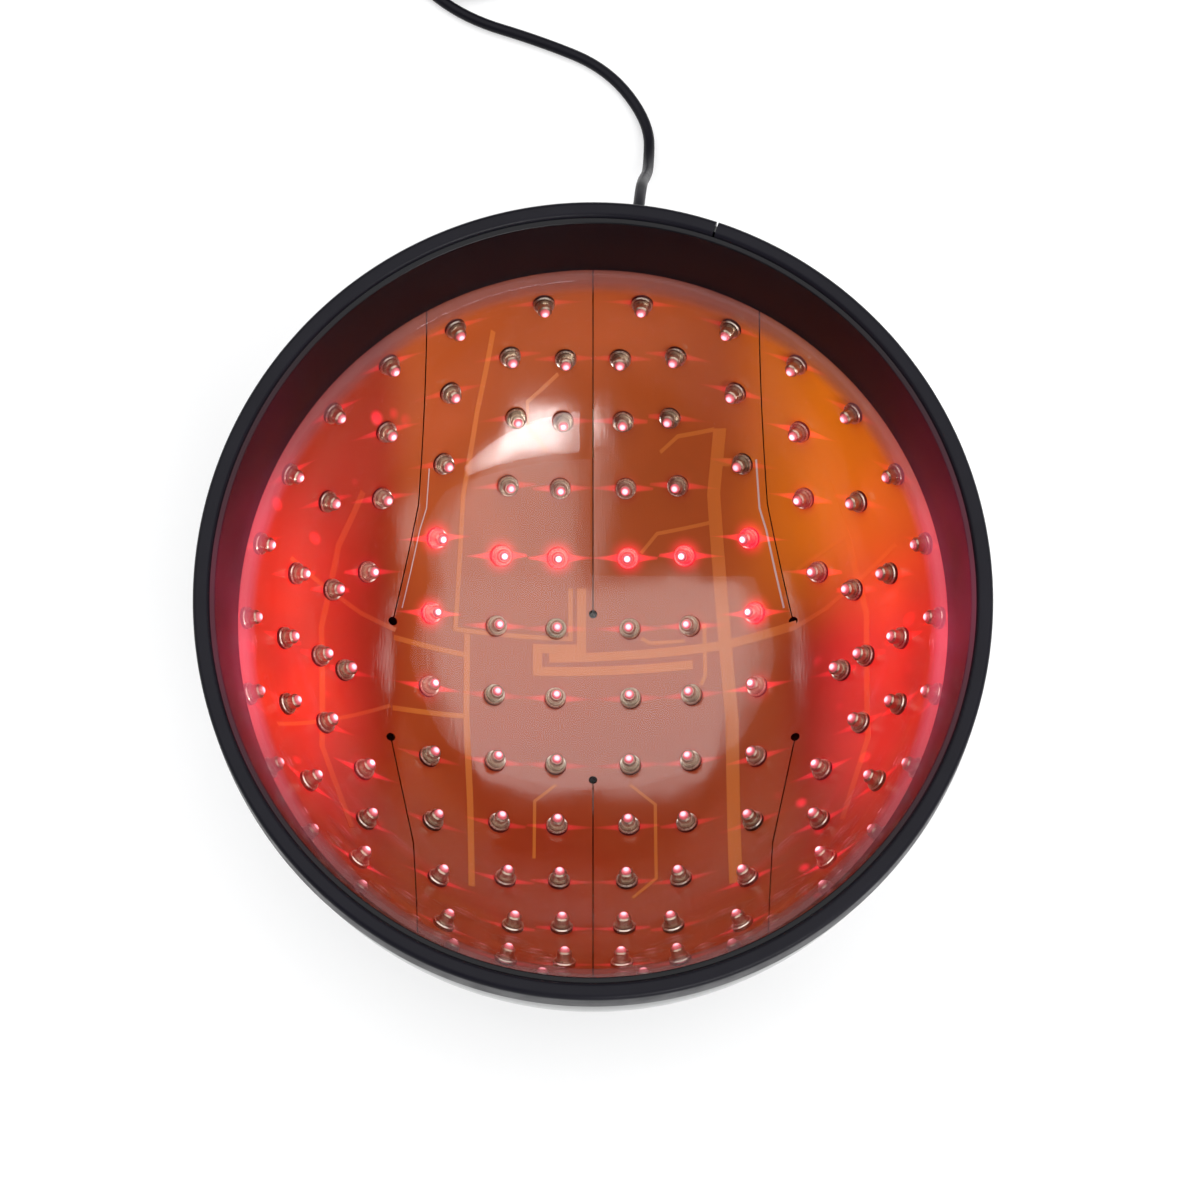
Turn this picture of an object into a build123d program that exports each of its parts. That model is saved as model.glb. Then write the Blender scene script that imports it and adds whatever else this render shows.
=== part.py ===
"""Laser therapy cap: an oval dome lined with laser diodes, lying crown down with its opening up.

Millimetres. +Z is up and +Y points to the back of the head. The origin is the centre of the small
flat on the crown, which the cap rests on. Depths are measured down from the top of the rim.
"""
import os
from math import atan2, cos, degrees, pi, radians, sin, sqrt, tan

from build123d import *

# ---- overall form -------------------------------------------------------------------------
RIM_HALF_WIDTH = 95.0        # outside of the rim trim, along X
OVAL = 1.05                  # every round section is this much longer along Y
HEIGHT = 98.0                # top of the rim trim above the crown flat

# ---- outer shell ----------------------------------------------------------------------------
SHELL_HALF_WIDTH = 94.0
SHELL_WALL = 1.6
SHELL_SHOULDER = 10.0        # depth at which the upright wall turns into the dome
CROWN_FLATTENING = 1.0       # how much the flat takes off the dome
SHELL_TOP = 1.1              # depth of the shell's own edge, inside the trim

# ---- rim trim -------------------------------------------------------------------------------
TRIM_WIDTH = 3.9
TRIM_LEG = 8.0
TRIM_ROUND = 1.0
TRIM_CLEARANCE = 0.05
TRIM_JOINT_ANGLE = 72.0      # where the two ends of the trim meet
TRIM_JOINT_GAP = 0.5

# ---- bezel ----------------------------------------------------------------------------------
BEZEL_TOP = 1.2
BEZEL_TOP_HALF_WIDTH = 91.0
BEZEL_UPRIGHT = 7.0
BEZEL_FOOT = 21.4
BEZEL_FOOT_HALF_WIDTH = 86.0
BEZEL_WALL = 1.3
BEZEL_FOOT_FLANGE = 2.6
CLIP_COUNT = 8
CLIP_RADIAL = 1.6
CLIP_WIDTH = 8.0
CLIP_HEIGHT = 3.0
CLIP_DEPTH = 17.5
CLIP_HALF_WIDTH = 90.4

# ---- flexible circuit -----------------------------------------------------------------------
FLEX_HALF_WIDTH = 93.5
FLEX_DEPTH = 93.5
FLEX_THICKNESS = 0.3
FLEX_EDGE = 24.5             # depth of the circuit's outer edge
SLIT_WIDTH = 0.5
RELIEF_HOLE_RADIUS = 1.1
CROWN_HOLE = (0.0, 22.5)
NECK_HOLE = (51.5, 15.5)
SEAM_BEND = (45.0, 45.0)
SEAM_END = (40.5, 95.0)
CENTRE_SLIT_END = (0.0, 105.0)

# ---- clear liner ----------------------------------------------------------------------------
LINER_HALF_WIDTH = 87.6
LINER_DEPTH = 87.2
LINER_WALL = 1.0
LINER_FLANGE_HALF_WIDTH = 88.6
LINER_FLANGE_TOP = 21.6
LINER_FLANGE_THICKNESS = 1.2

# ---- laser diodes ---------------------------------------------------------------------------
HEADER_RADIUS = 2.8
HEADER_HEIGHT = 1.2
CAN_RADIUS = 1.8
CAN_FLARE_RADIUS = 2.15
CAN_FLARE_HEIGHT = 0.3
CAN_HEIGHT = 2.5
LENS_RADIUS = 1.35
LENS_HEIGHT = 0.9
NOTCH_SIZE = (0.8, 1.0)       # index notch in the header's edge: depth each way and width
DIODE_LIFT = 0.08            # keeps a flat header clear of the curved circuit
TIP_HALF_WIDTH = 89.3        # the ellipsoid that the diode tips lie on, along X
TIP_DEPTH = 88.8
# Crown columns: distance from the centre line, degrees between rows, rows each way from the crown,
# how much the column pulls in towards its ends, and the distance of its end row.
COLUMNS = (
    (9.4, 10.95, 6, 0.42, 12.0),
    (24.6, 11.2, 5, 0.45, 20.4),
    (41.0, 12.9, 5, 0.22, 33.8),
)
# Side rows, parallel to the rim: depth of the tips, diodes each way from the middle one,
# degrees to the first neighbour, how fast that step grows, and a turn towards the back.
SIDE_ROWS = (
    (35.0, 4, 12.55, 0.0, 2.5),
    (49.5, 3, 10.95, 1.25, 2.5),
    (59.5, 2, 10.1, 4.0, 1.7),
    (65.0, 1, 23.4, 0.0, 0.0),
)

# ---- driver board and standoffs ---------------------------------------------------------------
BOARD_SIZE = (20.0, 13.0, 0.8)
BOARD_AT = (0.0, 0.66)       # place on the dome, as fractions of its half-width and half-length
BOARD_LIFT = 0.6
CHIP_SIZE = (5.0, 5.0, 0.7)
CAPACITOR_SIZE = (2.0, 1.2, 0.6)
CAPACITOR_X = (-8.0, -5.0, 5.0, 8.0)
SOCKET_SIZE = (5.0, 2.5, 0.7)
STANDOFF_RADIUS = 4.0
STANDOFF_CLEARANCE = 0.2
# Rings of standoffs: distance from the crown as a fraction, how many, and degrees to the first.
STANDOFF_RINGS = ((0.30, 4, 45.0), (0.62, 8, 22.5))

# ---- lead: its route from the strain relief to the coil, along the middle of the cable -----------
LEAD_RADIUS = 1.5
CORNER_SHARE = 0.45          # part of the shorter run that each corner's arc takes up
LEAD_ROUTE = (
    (10.4, 106.3, 55.2),
    (11.7, 118.4, 50.7),
    (12.8, 131.0, 40.0),
    (14.0, 141.5, 20.0),
    (15.2, 151.0, 5.0),
    (15.6, 166.5, 1.5),
    (4.0, 183.0, 1.5),
    (-15.0, 191.5, 1.5),
    (-36.0, 198.5, 1.5),
    (-51.0, 211.5, 1.5),
)
COIL_CENTRE = (-36.6, 228.1)
COIL_INNER_RADIUS = 11.5
COIL_OUTER_RADIUS = 23.5
COIL_HEIGHT = 6.0
COIL_ROUND = 1.2
TAIL_ROUTE = (
    (-33.0, 250.1, 4.5),
    (-27.0, 250.1, 5.8),
    (-20.6, 250.1, 5.8),
)
TIE_ANGLE = 200.0
TIE_WIDTH = 7.0
TIE_THICKNESS = 0.8
TIE_SLACK = 0.2              # room inside the strap on each side of the coil
TIE_ROUND = 1.2

# ---- strain relief and inner wires ------------------------------------------------------------
RELIEF_LENGTH = 14.0
RELIEF_BASE_RADIUS = 3.4
RELIEF_TIP_RADIUS = 2.1
RELIEF_COLLAR = 2.0          # even part of the boot, next to the shell
RELIEF_NECK_RADIUS = 2.5
RELIEF_HOLE_CLEARANCE = 0.15
RELIEF_SEAT = 0.35           # clears the curve of the wall
RELIEF_INNER_FLANGE = 0.6
RELIEF_INNER_RADIUS = 3.4
WIRE_RADIUS = 0.4
WIRE_SPACING = 1.4
WIRE_DEPTHS = (43.5, 54.0, 63.5)

# ---- plug -------------------------------------------------------------------------------------
BOOT_LENGTH = 10.0
BOOT_TIP_RADIUS = 2.1
BOOT_BASE_RADIUS = 3.6
PLUG_BODY_RADIUS = 5.8
PLUG_BODY_LENGTH = 13.0
PLUG_BODY_CHAMFER = 1.0
PLUG_NECK_RADIUS = 3.6
PLUG_NECK_LENGTH = 8.6
NECK_LIP_RADIUS = 4.2
NECK_LIP_LENGTH = 0.8
BARREL_RADIUS = 2.75
BARREL_LENGTH = 9.5
BARREL_WALL = 0.5
BARREL_BORE_RADIUS = 1.05
INSULATOR_RECESS = 0.4
RING_RADIUS = 5.5
RING_START = 0.3
RING_LENGTH = 7.2
RING_CLEARANCE = 0.06
RING_FLUTES = 20
RING_FLUTE_RADIUS = 0.4
RING_PLAIN_EDGE = 1.0        # smooth edge at each end of the flutes


def at_depth(depth):
    """Height of a point that lies this far below the top of the rim."""
    return HEIGHT - depth


def oval(shape):
    """The part stretched along Y to the cap's oval."""
    return scale(shape, by=(1, OVAL, 1))


def spun(section):
    """A section drawn in X and Z, turned about Z."""
    return revolve(Plane.XZ * section, axis=Axis.Z)


def band(x_low, x_high, depth_top, depth_bottom):
    """Rectangle in a section, from its half-widths and depths."""
    middle = Pos((x_low + x_high) / 2, at_depth((depth_top + depth_bottom) / 2))
    return middle * Rectangle(x_high - x_low, depth_bottom - depth_top)


def dome_section(half_width, depth, centre_depth, top_depth, wall):
    """Section of a dome of even wall, below top_depth."""
    centre = Pos(0, at_depth(centre_depth))
    semi = depth - centre_depth
    outer = centre * Ellipse(half_width, semi)
    inner = centre * Ellipse(half_width - wall, semi - wall)
    return (outer - inner) & band(0, 2 * half_width, top_depth, 2 * depth)


def group(pieces, label):
    """Separate solids kept together in one node."""
    return Compound(label=label, children=pieces)


# ---- places on the domes ------------------------------------------------------------------------

def dome_frame(half_width, depth, across, along, centre_depth=0.0):
    """Plane on an oval dome with its normal pointing into the bowl, at fractions of its size."""
    half_length = half_width * OVAL
    semi = depth - centre_depth
    down = sqrt(1 - across**2 - along**2)
    point = Vector(across * half_width, along * half_length, at_depth(centre_depth + down * semi))
    normal = Vector(-across / half_width, -along / half_length, down / semi)
    return Plane(origin=point, z_dir=normal, x_dir=(1, 0, normal.X / -normal.Z))


def flex_outside(across, along):
    """Plane on the back of the circuit, with its normal pointing at the shell."""
    inward = dome_frame(FLEX_HALF_WIDTH + FLEX_THICKNESS, FLEX_DEPTH + FLEX_THICKNESS, across, along)
    return Plane(origin=inward.origin, z_dir=inward.z_dir * -1, x_dir=inward.x_dir)


def gap_to_shell(outward):
    """Free distance from a point behind the circuit to the inside of the shell."""
    semi = HEIGHT + CROWN_FLATTENING - SHELL_SHOULDER - SHELL_WALL
    half_width = SHELL_HALF_WIDTH - SHELL_WALL
    sizes = (half_width, half_width * OVAL, semi)
    start = outward.origin - Vector(0, 0, at_depth(SHELL_SHOULDER))
    step = outward.z_dir
    starts = [value / size for value, size in zip(tuple(start), sizes)]
    steps = [value / size for value, size in zip(tuple(step), sizes)]
    a = sum(s * s for s in steps)
    b = sum(p * s for p, s in zip(starts, steps))
    c = sum(p * p for p in starts) - 1
    return (sqrt(b * b - a * c) - b) / a


# ---- shell, trim, bezel, liner --------------------------------------------------------------------

def relief_axis():
    """Plane at the outer end of the strain relief, looking along the lead."""
    start = Vector(*LEAD_ROUTE[0])
    heading = (Vector(*LEAD_ROUTE[1]) - start).normalized()
    return Plane(origin=start, z_dir=heading)


def outer_shell():
    """Moulded dome with an upright edge, a crown flat and the hole for the strain relief."""
    crown_depth = HEIGHT + CROWN_FLATTENING
    dome = dome_section(SHELL_HALF_WIDTH, crown_depth, SHELL_SHOULDER, SHELL_SHOULDER, SHELL_WALL)
    wall = band(SHELL_HALF_WIDTH - SHELL_WALL, SHELL_HALF_WIDTH, SHELL_TOP, SHELL_SHOULDER)
    radius = RELIEF_NECK_RADIUS + RELIEF_HOLE_CLEARANCE
    hole = relief_axis() * Pos(0, 0, -RELIEF_LENGTH) * Cylinder(radius, 2 * RELIEF_LENGTH)
    below_flat = Pos(0, 0, -SHELL_HALF_WIDTH / 2) * Box(SHELL_HALF_WIDTH, SHELL_HALF_WIDTH, SHELL_HALF_WIDTH)
    return oval(spun(dome + wall)) - hole - below_flat


def rim_trim():
    """Push-on edge trim: a channel with a rounded back, butted at one place."""
    outer = band(RIM_HALF_WIDTH - TRIM_WIDTH, RIM_HALF_WIDTH, 0, TRIM_LEG)
    outer = fillet(outer.vertices().group_by(Axis.Y)[-1], TRIM_ROUND)
    slot_low = SHELL_HALF_WIDTH - SHELL_WALL - TRIM_CLEARANCE
    slot_high = SHELL_HALF_WIDTH + TRIM_CLEARANCE
    slot = band(slot_low, slot_high, SHELL_TOP - TRIM_CLEARANCE, 2 * TRIM_LEG)
    joint_box = Box(4 * TRIM_WIDTH, TRIM_JOINT_GAP, 4 * TRIM_LEG)
    joint = Rot(0, 0, TRIM_JOINT_ANGLE) * Pos(RIM_HALF_WIDTH, 0, HEIGHT) * joint_box
    return oval(spun(outer - slot) - joint)


def inner_bezel():
    """Funnel ring that hides the edge of the circuit and holds down the liner's flange."""
    foot_outer = BEZEL_FOOT_HALF_WIDTH + BEZEL_WALL
    flange_edge = foot_outer + BEZEL_FOOT_FLANGE
    outline = Polyline(
        (BEZEL_TOP_HALF_WIDTH - BEZEL_WALL, at_depth(BEZEL_TOP)),
        (BEZEL_TOP_HALF_WIDTH, at_depth(BEZEL_TOP)),
        (BEZEL_TOP_HALF_WIDTH, at_depth(BEZEL_UPRIGHT)),
        (foot_outer, at_depth(BEZEL_FOOT - BEZEL_WALL)),
        (flange_edge, at_depth(BEZEL_FOOT - BEZEL_WALL)),
        (flange_edge, at_depth(BEZEL_FOOT)),
        (BEZEL_FOOT_HALF_WIDTH, at_depth(BEZEL_FOOT)),
        close=True,
    )
    return oval(spun(make_face(outline)))


def bezel_clips():
    """Blocks behind the bezel's foot that grip the shell's wall."""
    block = Box(CLIP_RADIAL, CLIP_WIDTH, CLIP_HEIGHT)
    clips = []
    for index in range(CLIP_COUNT):
        turn = radians((index + 0.5) * 360 / CLIP_COUNT)
        across = CLIP_HALF_WIDTH * cos(turn)
        along = CLIP_HALF_WIDTH * OVAL * sin(turn)
        facing = degrees(atan2(sin(turn), OVAL * cos(turn)))
        clips.append(Pos(across, along, at_depth(CLIP_DEPTH)) * Rot(0, 0, facing) * block)
    return group(clips, "bezel_clips")


def clear_liner():
    """Transparent inner dome with an outward flange under the bezel's foot."""
    dome = dome_section(LINER_HALF_WIDTH, LINER_DEPTH, 0, LINER_FLANGE_TOP, LINER_WALL)
    spread = sqrt(1 - (LINER_FLANGE_TOP / LINER_DEPTH) ** 2)
    flange_bottom = LINER_FLANGE_TOP + LINER_FLANGE_THICKNESS
    flange_start = LINER_HALF_WIDTH * spread - LINER_WALL
    flange = band(flange_start, LINER_FLANGE_HALF_WIDTH, LINER_FLANGE_TOP, flange_bottom)
    return oval(spun(dome + flange))


# ---- flexible circuit and its diodes ---------------------------------------------------------------

def slit(start, end):
    """Thin upright blade between two places in plan."""
    run = Vector(end[0] - start[0], end[1] - start[1])
    facing = degrees(atan2(run.Y, run.X))
    middle = Pos((start[0] + end[0]) / 2, (start[1] + end[1]) / 2, HEIGHT / 2)
    return middle * Rot(0, 0, facing) * Box(run.length, SLIT_WIDTH, 2 * HEIGHT)


def relief_hole(place):
    """Upright drill for the round end of a slit."""
    return Pos(place[0], place[1], HEIGHT / 2) * Cylinder(RELIEF_HOLE_RADIUS, 2 * HEIGHT)


def flex_circuit():
    """Printed film cut into six petals round a crown, each cut ending in a round hole."""
    section = dome_section(
        FLEX_HALF_WIDTH + FLEX_THICKNESS, FLEX_DEPTH + FLEX_THICKNESS, 0, FLEX_EDGE, FLEX_THICKNESS
    )
    cutters = []
    for end in (1, -1):
        crown_hole = (0, end * CROWN_HOLE[1])
        cutters.append(relief_hole(crown_hole))
        cutters.append(slit(crown_hole, (0, end * CENTRE_SLIT_END[1])))
        for side in (1, -1):
            neck = (side * NECK_HOLE[0], end * NECK_HOLE[1])
            bend = (side * SEAM_BEND[0], end * SEAM_BEND[1])
            outer = (side * SEAM_END[0], end * SEAM_END[1])
            cutters += [relief_hole(neck), slit(neck, bend), slit(bend, outer)]
    return oval(spun(section)) - cutters


def crown_places():
    """Diodes of the crown columns as (petal, across, along), in fractions of the tips' dome."""
    places = []
    for offset, pitch, rows, pinch, end_offset in COLUMNS:
        for row in range(-rows, rows + 1):
            angle = radians(pitch * row)
            across = offset * (1 - pinch * sin(angle) ** 2)
            if abs(row) == rows:
                across = end_offset
            across /= TIP_HALF_WIDTH
            along = sin(angle) * sqrt(1 - across**2)
            for side in (1, -1):
                places.append((crown_petal(row, side), side * across, along))
    return places


def crown_petal(row, side):
    """Name of the petal that a crown column's diode sits on."""
    if abs(row) <= 1:
        return "crown"
    end = "back" if row > 0 else "front"
    return end + ("_right" if side > 0 else "_left")


def side_places():
    """Diodes of the side rows as (petal, across, along), in fractions of the tips' dome."""
    places = []
    for depth, reach, step, growth, turn in SIDE_ROWS:
        ring = sqrt(1 - (depth / TIP_DEPTH) ** 2)
        for index in range(-reach, reach + 1):
            angle = radians(index * (step + growth * abs(index)) + turn)
            places.append(("side_right", ring * cos(angle), ring * sin(angle)))
            places.append(("side_left", -ring * cos(angle), ring * sin(angle)))
    return places


def diode_header():
    """Round metal base of a laser diode, with its index notch."""
    base = Pos(0, 0, HEADER_HEIGHT / 2) * Cylinder(HEADER_RADIUS, HEADER_HEIGHT)
    notch = Pos(HEADER_RADIUS, 0, HEADER_HEIGHT / 2) * Box(*NOTCH_SIZE, 2 * HEADER_HEIGHT)
    return base - notch


def diode_can():
    """Drawn metal cap with a welded flare at its foot."""
    flare = Pos(0, 0, CAN_FLARE_HEIGHT / 2) * Cylinder(CAN_FLARE_RADIUS, CAN_FLARE_HEIGHT)
    wall = Pos(0, 0, CAN_HEIGHT / 2) * Cylinder(CAN_RADIUS, CAN_HEIGHT)
    return Pos(0, 0, HEADER_HEIGHT) * (flare + wall)


def diode_lens():
    """Low dome over the can's window, a cap cut from a ball."""
    ball_radius = (LENS_RADIUS**2 + LENS_HEIGHT**2) / (2 * LENS_HEIGHT)
    ball = Pos(0, 0, LENS_HEIGHT - ball_radius) * Sphere(ball_radius)
    above = Pos(0, 0, LENS_HEIGHT) * Box(4 * LENS_RADIUS, 4 * LENS_RADIUS, 2 * LENS_HEIGHT)
    return Pos(0, 0, HEADER_HEIGHT + CAN_HEIGHT) * (ball & above)


def diode_nodes():
    """Headers, cans and lenses of each petal, as one node of each kind."""
    parts = {"header": diode_header(), "can": diode_can(), "lens": diode_lens()}
    nodes = {}
    for petal, across, along in crown_places() + side_places():
        seat = dome_frame(FLEX_HALF_WIDTH, FLEX_DEPTH, across, along)
        for kind, piece in parts.items():
            name = f"diode_{kind}_{petal}"
            nodes.setdefault(name, []).append(seat * Pos(0, 0, DIODE_LIFT) * piece)
    return {name: group(pieces, name) for name, pieces in nodes.items()}


# ---- behind the circuit ----------------------------------------------------------------------------

def foam_standoffs():
    """Foam pads that hold the circuit off the shell."""
    pads = []
    for fraction, count, first in STANDOFF_RINGS:
        for index in range(count):
            angle = radians(first + index * 360 / count)
            seat = flex_outside(fraction * cos(angle), fraction * sin(angle))
            thickness = gap_to_shell(seat) - 2 * STANDOFF_CLEARANCE
            middle = Pos(0, 0, STANDOFF_CLEARANCE + thickness / 2)
            pads.append(seat * middle * Cylinder(STANDOFF_RADIUS, thickness))
    return group(pads, "foam_standoffs")


def board_nodes():
    """Driver board and what is soldered to it, on the back of the circuit."""
    seat = flex_outside(*BOARD_AT)
    length, width, thick = BOARD_SIZE
    top = BOARD_LIFT + thick
    board = seat * Pos(0, 0, BOARD_LIFT + thick / 2) * Box(length, width, thick)
    chip = seat * Pos(0, 0, top + CHIP_SIZE[2] / 2) * Box(*CHIP_SIZE)
    capacitors = []
    for x in CAPACITOR_X:
        place = Pos(x, width / 4, top + CAPACITOR_SIZE[2] / 2)
        capacitors.append(seat * place * Box(*CAPACITOR_SIZE))
    socket_place = Pos(length / 2 - SOCKET_SIZE[0], -width / 2 + SOCKET_SIZE[1], top + SOCKET_SIZE[2] / 2)
    socket = seat * socket_place * Box(*SOCKET_SIZE)
    return {
        "driver_board": board,
        "driver_chip": chip,
        "board_capacitors": group(capacitors, "board_capacitors"),
        "wire_socket": socket,
    }


def gap_middle(across, depth):
    """Point half way between the circuit and the shell, near the back of the cap."""
    shell_semi = HEIGHT + CROWN_FLATTENING - SHELL_SHOULDER - SHELL_WALL
    shell_width = SHELL_HALF_WIDTH - SHELL_WALL
    flex_width = FLEX_HALF_WIDTH + FLEX_THICKNESS
    shell_part = 1 - (across / shell_width) ** 2 - ((depth - SHELL_SHOULDER) / shell_semi) ** 2
    flex_part = 1 - (across / flex_width) ** 2 - (depth / (FLEX_DEPTH + FLEX_THICKNESS)) ** 2
    along = OVAL * (shell_width * sqrt(shell_part) + flex_width * sqrt(flex_part)) / 2
    return Vector(across, along, at_depth(depth))


def lead_wire(across):
    """One insulated wire from the strain relief down to the board."""
    path = ThreePointArc(*[gap_middle(across, depth) for depth in WIRE_DEPTHS])
    return sweep(Plane(origin=path @ 0, z_dir=path % 0) * Circle(WIRE_RADIUS), path=path)


# ---- lead ------------------------------------------------------------------------------------------

def corner_radii(route):
    """Largest even arc for each corner of a route."""
    points = [Vector(*point) for point in route]
    radii = []
    for before, corner, after in zip(points, points[1:], points[2:]):
        arriving = corner - before
        leaving = after - corner
        half_turn = radians(arriving.get_angle(leaving)) / 2
        radii.append(CORNER_SHARE * min(arriving.length, leaving.length) / tan(half_turn))
    return radii


def cable(route, name):
    """Round tube along straight runs joined by tangent arcs."""
    radii = corner_radii(route)
    path = FilletPolyline(*route, radius=radii)
    tube = sweep(Plane(origin=path @ 0, z_dir=path % 0) * Circle(LEAD_RADIUS), path=path)
    expected = path.length * pi * LEAD_RADIUS**2
    print(name, "radii", [round(radius, 1) for radius in radii])
    print(name, "length", round(path.length, 1), "volume ratio", round(tube.volume / expected, 4))
    return tube


def lead_coil():
    """Outer shape of the wound part of the lead."""
    middle = Pos((COIL_INNER_RADIUS + COIL_OUTER_RADIUS) / 2, COIL_HEIGHT / 2)
    section = middle * Rectangle(COIL_OUTER_RADIUS - COIL_INNER_RADIUS, COIL_HEIGHT)
    section = fillet(section.vertices(), COIL_ROUND)
    return Pos(*COIL_CENTRE) * spun(section)


def coil_tie():
    """Strap wrapped round the coil at one place."""
    middle_radius = (COIL_INNER_RADIUS + COIL_OUTER_RADIUS) / 2
    hole_wide = COIL_OUTER_RADIUS - COIL_INNER_RADIUS + 2 * TIE_SLACK
    hole_high = COIL_HEIGHT - TIE_THICKNESS
    outer = Box(hole_wide + 2 * TIE_THICKNESS, TIE_WIDTH, hole_high + 2 * TIE_THICKNESS)
    outer = fillet(outer.edges().filter_by(Axis.Y), TIE_ROUND)
    strap = outer - Box(hole_wide, 2 * TIE_WIDTH, hole_high)
    height = TIE_THICKNESS + hole_high / 2
    return Pos(*COIL_CENTRE) * Rot(0, 0, TIE_ANGLE) * Pos(middle_radius, 0, height) * strap


def cable_strain_relief():
    """Tapered boot with a neck through the shell's wall and a flange inside it."""
    outline = Polyline(
        (0, 0),
        (RELIEF_TIP_RADIUS, 0),
        (RELIEF_BASE_RADIUS, -RELIEF_LENGTH + RELIEF_COLLAR),
        (RELIEF_BASE_RADIUS, -RELIEF_LENGTH + RELIEF_SEAT),
        (RELIEF_NECK_RADIUS, -RELIEF_LENGTH + RELIEF_SEAT),
        (RELIEF_NECK_RADIUS, -RELIEF_LENGTH - SHELL_WALL - RELIEF_SEAT),
        (RELIEF_INNER_RADIUS, -RELIEF_LENGTH - SHELL_WALL - RELIEF_SEAT),
        (RELIEF_INNER_RADIUS, -RELIEF_LENGTH - SHELL_WALL - RELIEF_SEAT - RELIEF_INNER_FLANGE),
        (0, -RELIEF_LENGTH - SHELL_WALL - RELIEF_SEAT - RELIEF_INNER_FLANGE),
        close=True,
    )
    return relief_axis() * spun(make_face(outline))


# ---- plug ------------------------------------------------------------------------------------------

def plug_plane():
    """Plane where the lead enters the plug's boot, looking along the plug."""
    return Plane(origin=TAIL_ROUTE[-1], z_dir=(1, 0, 0), x_dir=(0, 1, 0))


def turned(points):
    """Solid of revolution about the plug's axis, from (radius, distance) corners."""
    return plug_plane() * spun(make_face(Polyline(*points, close=True)))


def plug_nodes():
    """Boot, body, barrel, insulator and the ring that turns on the body's neck."""
    body_start = BOOT_LENGTH
    neck_start = body_start + PLUG_BODY_LENGTH
    neck_end = neck_start + PLUG_NECK_LENGTH
    barrel_end = neck_end + BARREL_LENGTH
    lip_start = neck_end - NECK_LIP_LENGTH
    boot = turned([(0, 0), (BOOT_TIP_RADIUS, 0), (BOOT_BASE_RADIUS, body_start), (0, body_start)])
    body = turned([
        (0, body_start),
        (PLUG_BODY_RADIUS - PLUG_BODY_CHAMFER, body_start),
        (PLUG_BODY_RADIUS, body_start + PLUG_BODY_CHAMFER),
        (PLUG_BODY_RADIUS, neck_start),
        (PLUG_NECK_RADIUS, neck_start),
        (PLUG_NECK_RADIUS, lip_start),
        (NECK_LIP_RADIUS, lip_start),
        (NECK_LIP_RADIUS, neck_end),
        (0, neck_end),
    ])
    barrel = turned([
        (BARREL_RADIUS - BARREL_WALL, neck_end),
        (BARREL_RADIUS, neck_end),
        (BARREL_RADIUS, barrel_end),
        (BARREL_RADIUS - BARREL_WALL, barrel_end),
    ])
    insulator = turned([
        (BARREL_BORE_RADIUS, neck_end),
        (BARREL_RADIUS - BARREL_WALL, neck_end),
        (BARREL_RADIUS - BARREL_WALL, barrel_end - INSULATOR_RECESS),
        (BARREL_BORE_RADIUS, barrel_end - INSULATOR_RECESS),
    ])
    return {
        "plug_boot": boot,
        "plug_body": body,
        "plug_barrel": barrel,
        "plug_insulator": insulator,
        "coupling_ring": coupling_ring(neck_start + RING_START),
    }


def coupling_ring(start):
    """Fluted ring that turns freely on the plug's neck, kept on by the neck's lip."""
    end = start + RING_LENGTH
    ring = turned([
        (PLUG_NECK_RADIUS + RING_CLEARANCE, start),
        (RING_RADIUS, start),
        (RING_RADIUS, end),
        (PLUG_NECK_RADIUS + RING_CLEARANCE, end),
    ])
    flutes = []
    for index in range(RING_FLUTES):
        turn = 360 * index / RING_FLUTES
        place = Rot(0, 0, turn) * Pos(RING_RADIUS, 0, start + RING_LENGTH / 2)
        flutes.append(plug_plane() * place * Cylinder(RING_FLUTE_RADIUS, RING_LENGTH - 2 * RING_PLAIN_EDGE))
    return ring - flutes


def all_nodes():
    nodes = {
        "outer_shell": outer_shell(),
        "rim_trim": rim_trim(),
        "inner_bezel": inner_bezel(),
        "bezel_clips": bezel_clips(),
        "clear_liner": clear_liner(),
        "flex_circuit": flex_circuit(),
        "foam_standoffs": foam_standoffs(),
        "power_wire": lead_wire(LEAD_ROUTE[0][0] - WIRE_SPACING / 2),
        "return_wire": lead_wire(LEAD_ROUTE[0][0] + WIRE_SPACING / 2),
        "cable_strain_relief": cable_strain_relief(),
        "lead_cable": cable(LEAD_ROUTE, "lead_cable"),
        "lead_coil": lead_coil(),
        "coil_tie": coil_tie(),
        "lead_tail": cable(TAIL_ROUTE, "lead_tail"),
    }
    nodes.update(diode_nodes())
    nodes.update(board_nodes())
    nodes.update(plug_nodes())
    return nodes


os.makedirs("parts", exist_ok=True)
for node_name, node_shape in all_nodes().items():
    export_step(node_shape, f"parts/{node_name}.step")
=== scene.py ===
"""Looks of the laser therapy cap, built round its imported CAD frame. Metres, in the CAD frame."""
import random
from math import asin, atan2, cos, degrees, hypot, pi, radians, sin, sqrt

import bmesh
import bpy
import numpy as np
from bpy.props import FloatProperty, FloatVectorProperty, IntProperty, PointerProperty
from mathutils import Matrix, Vector


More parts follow.
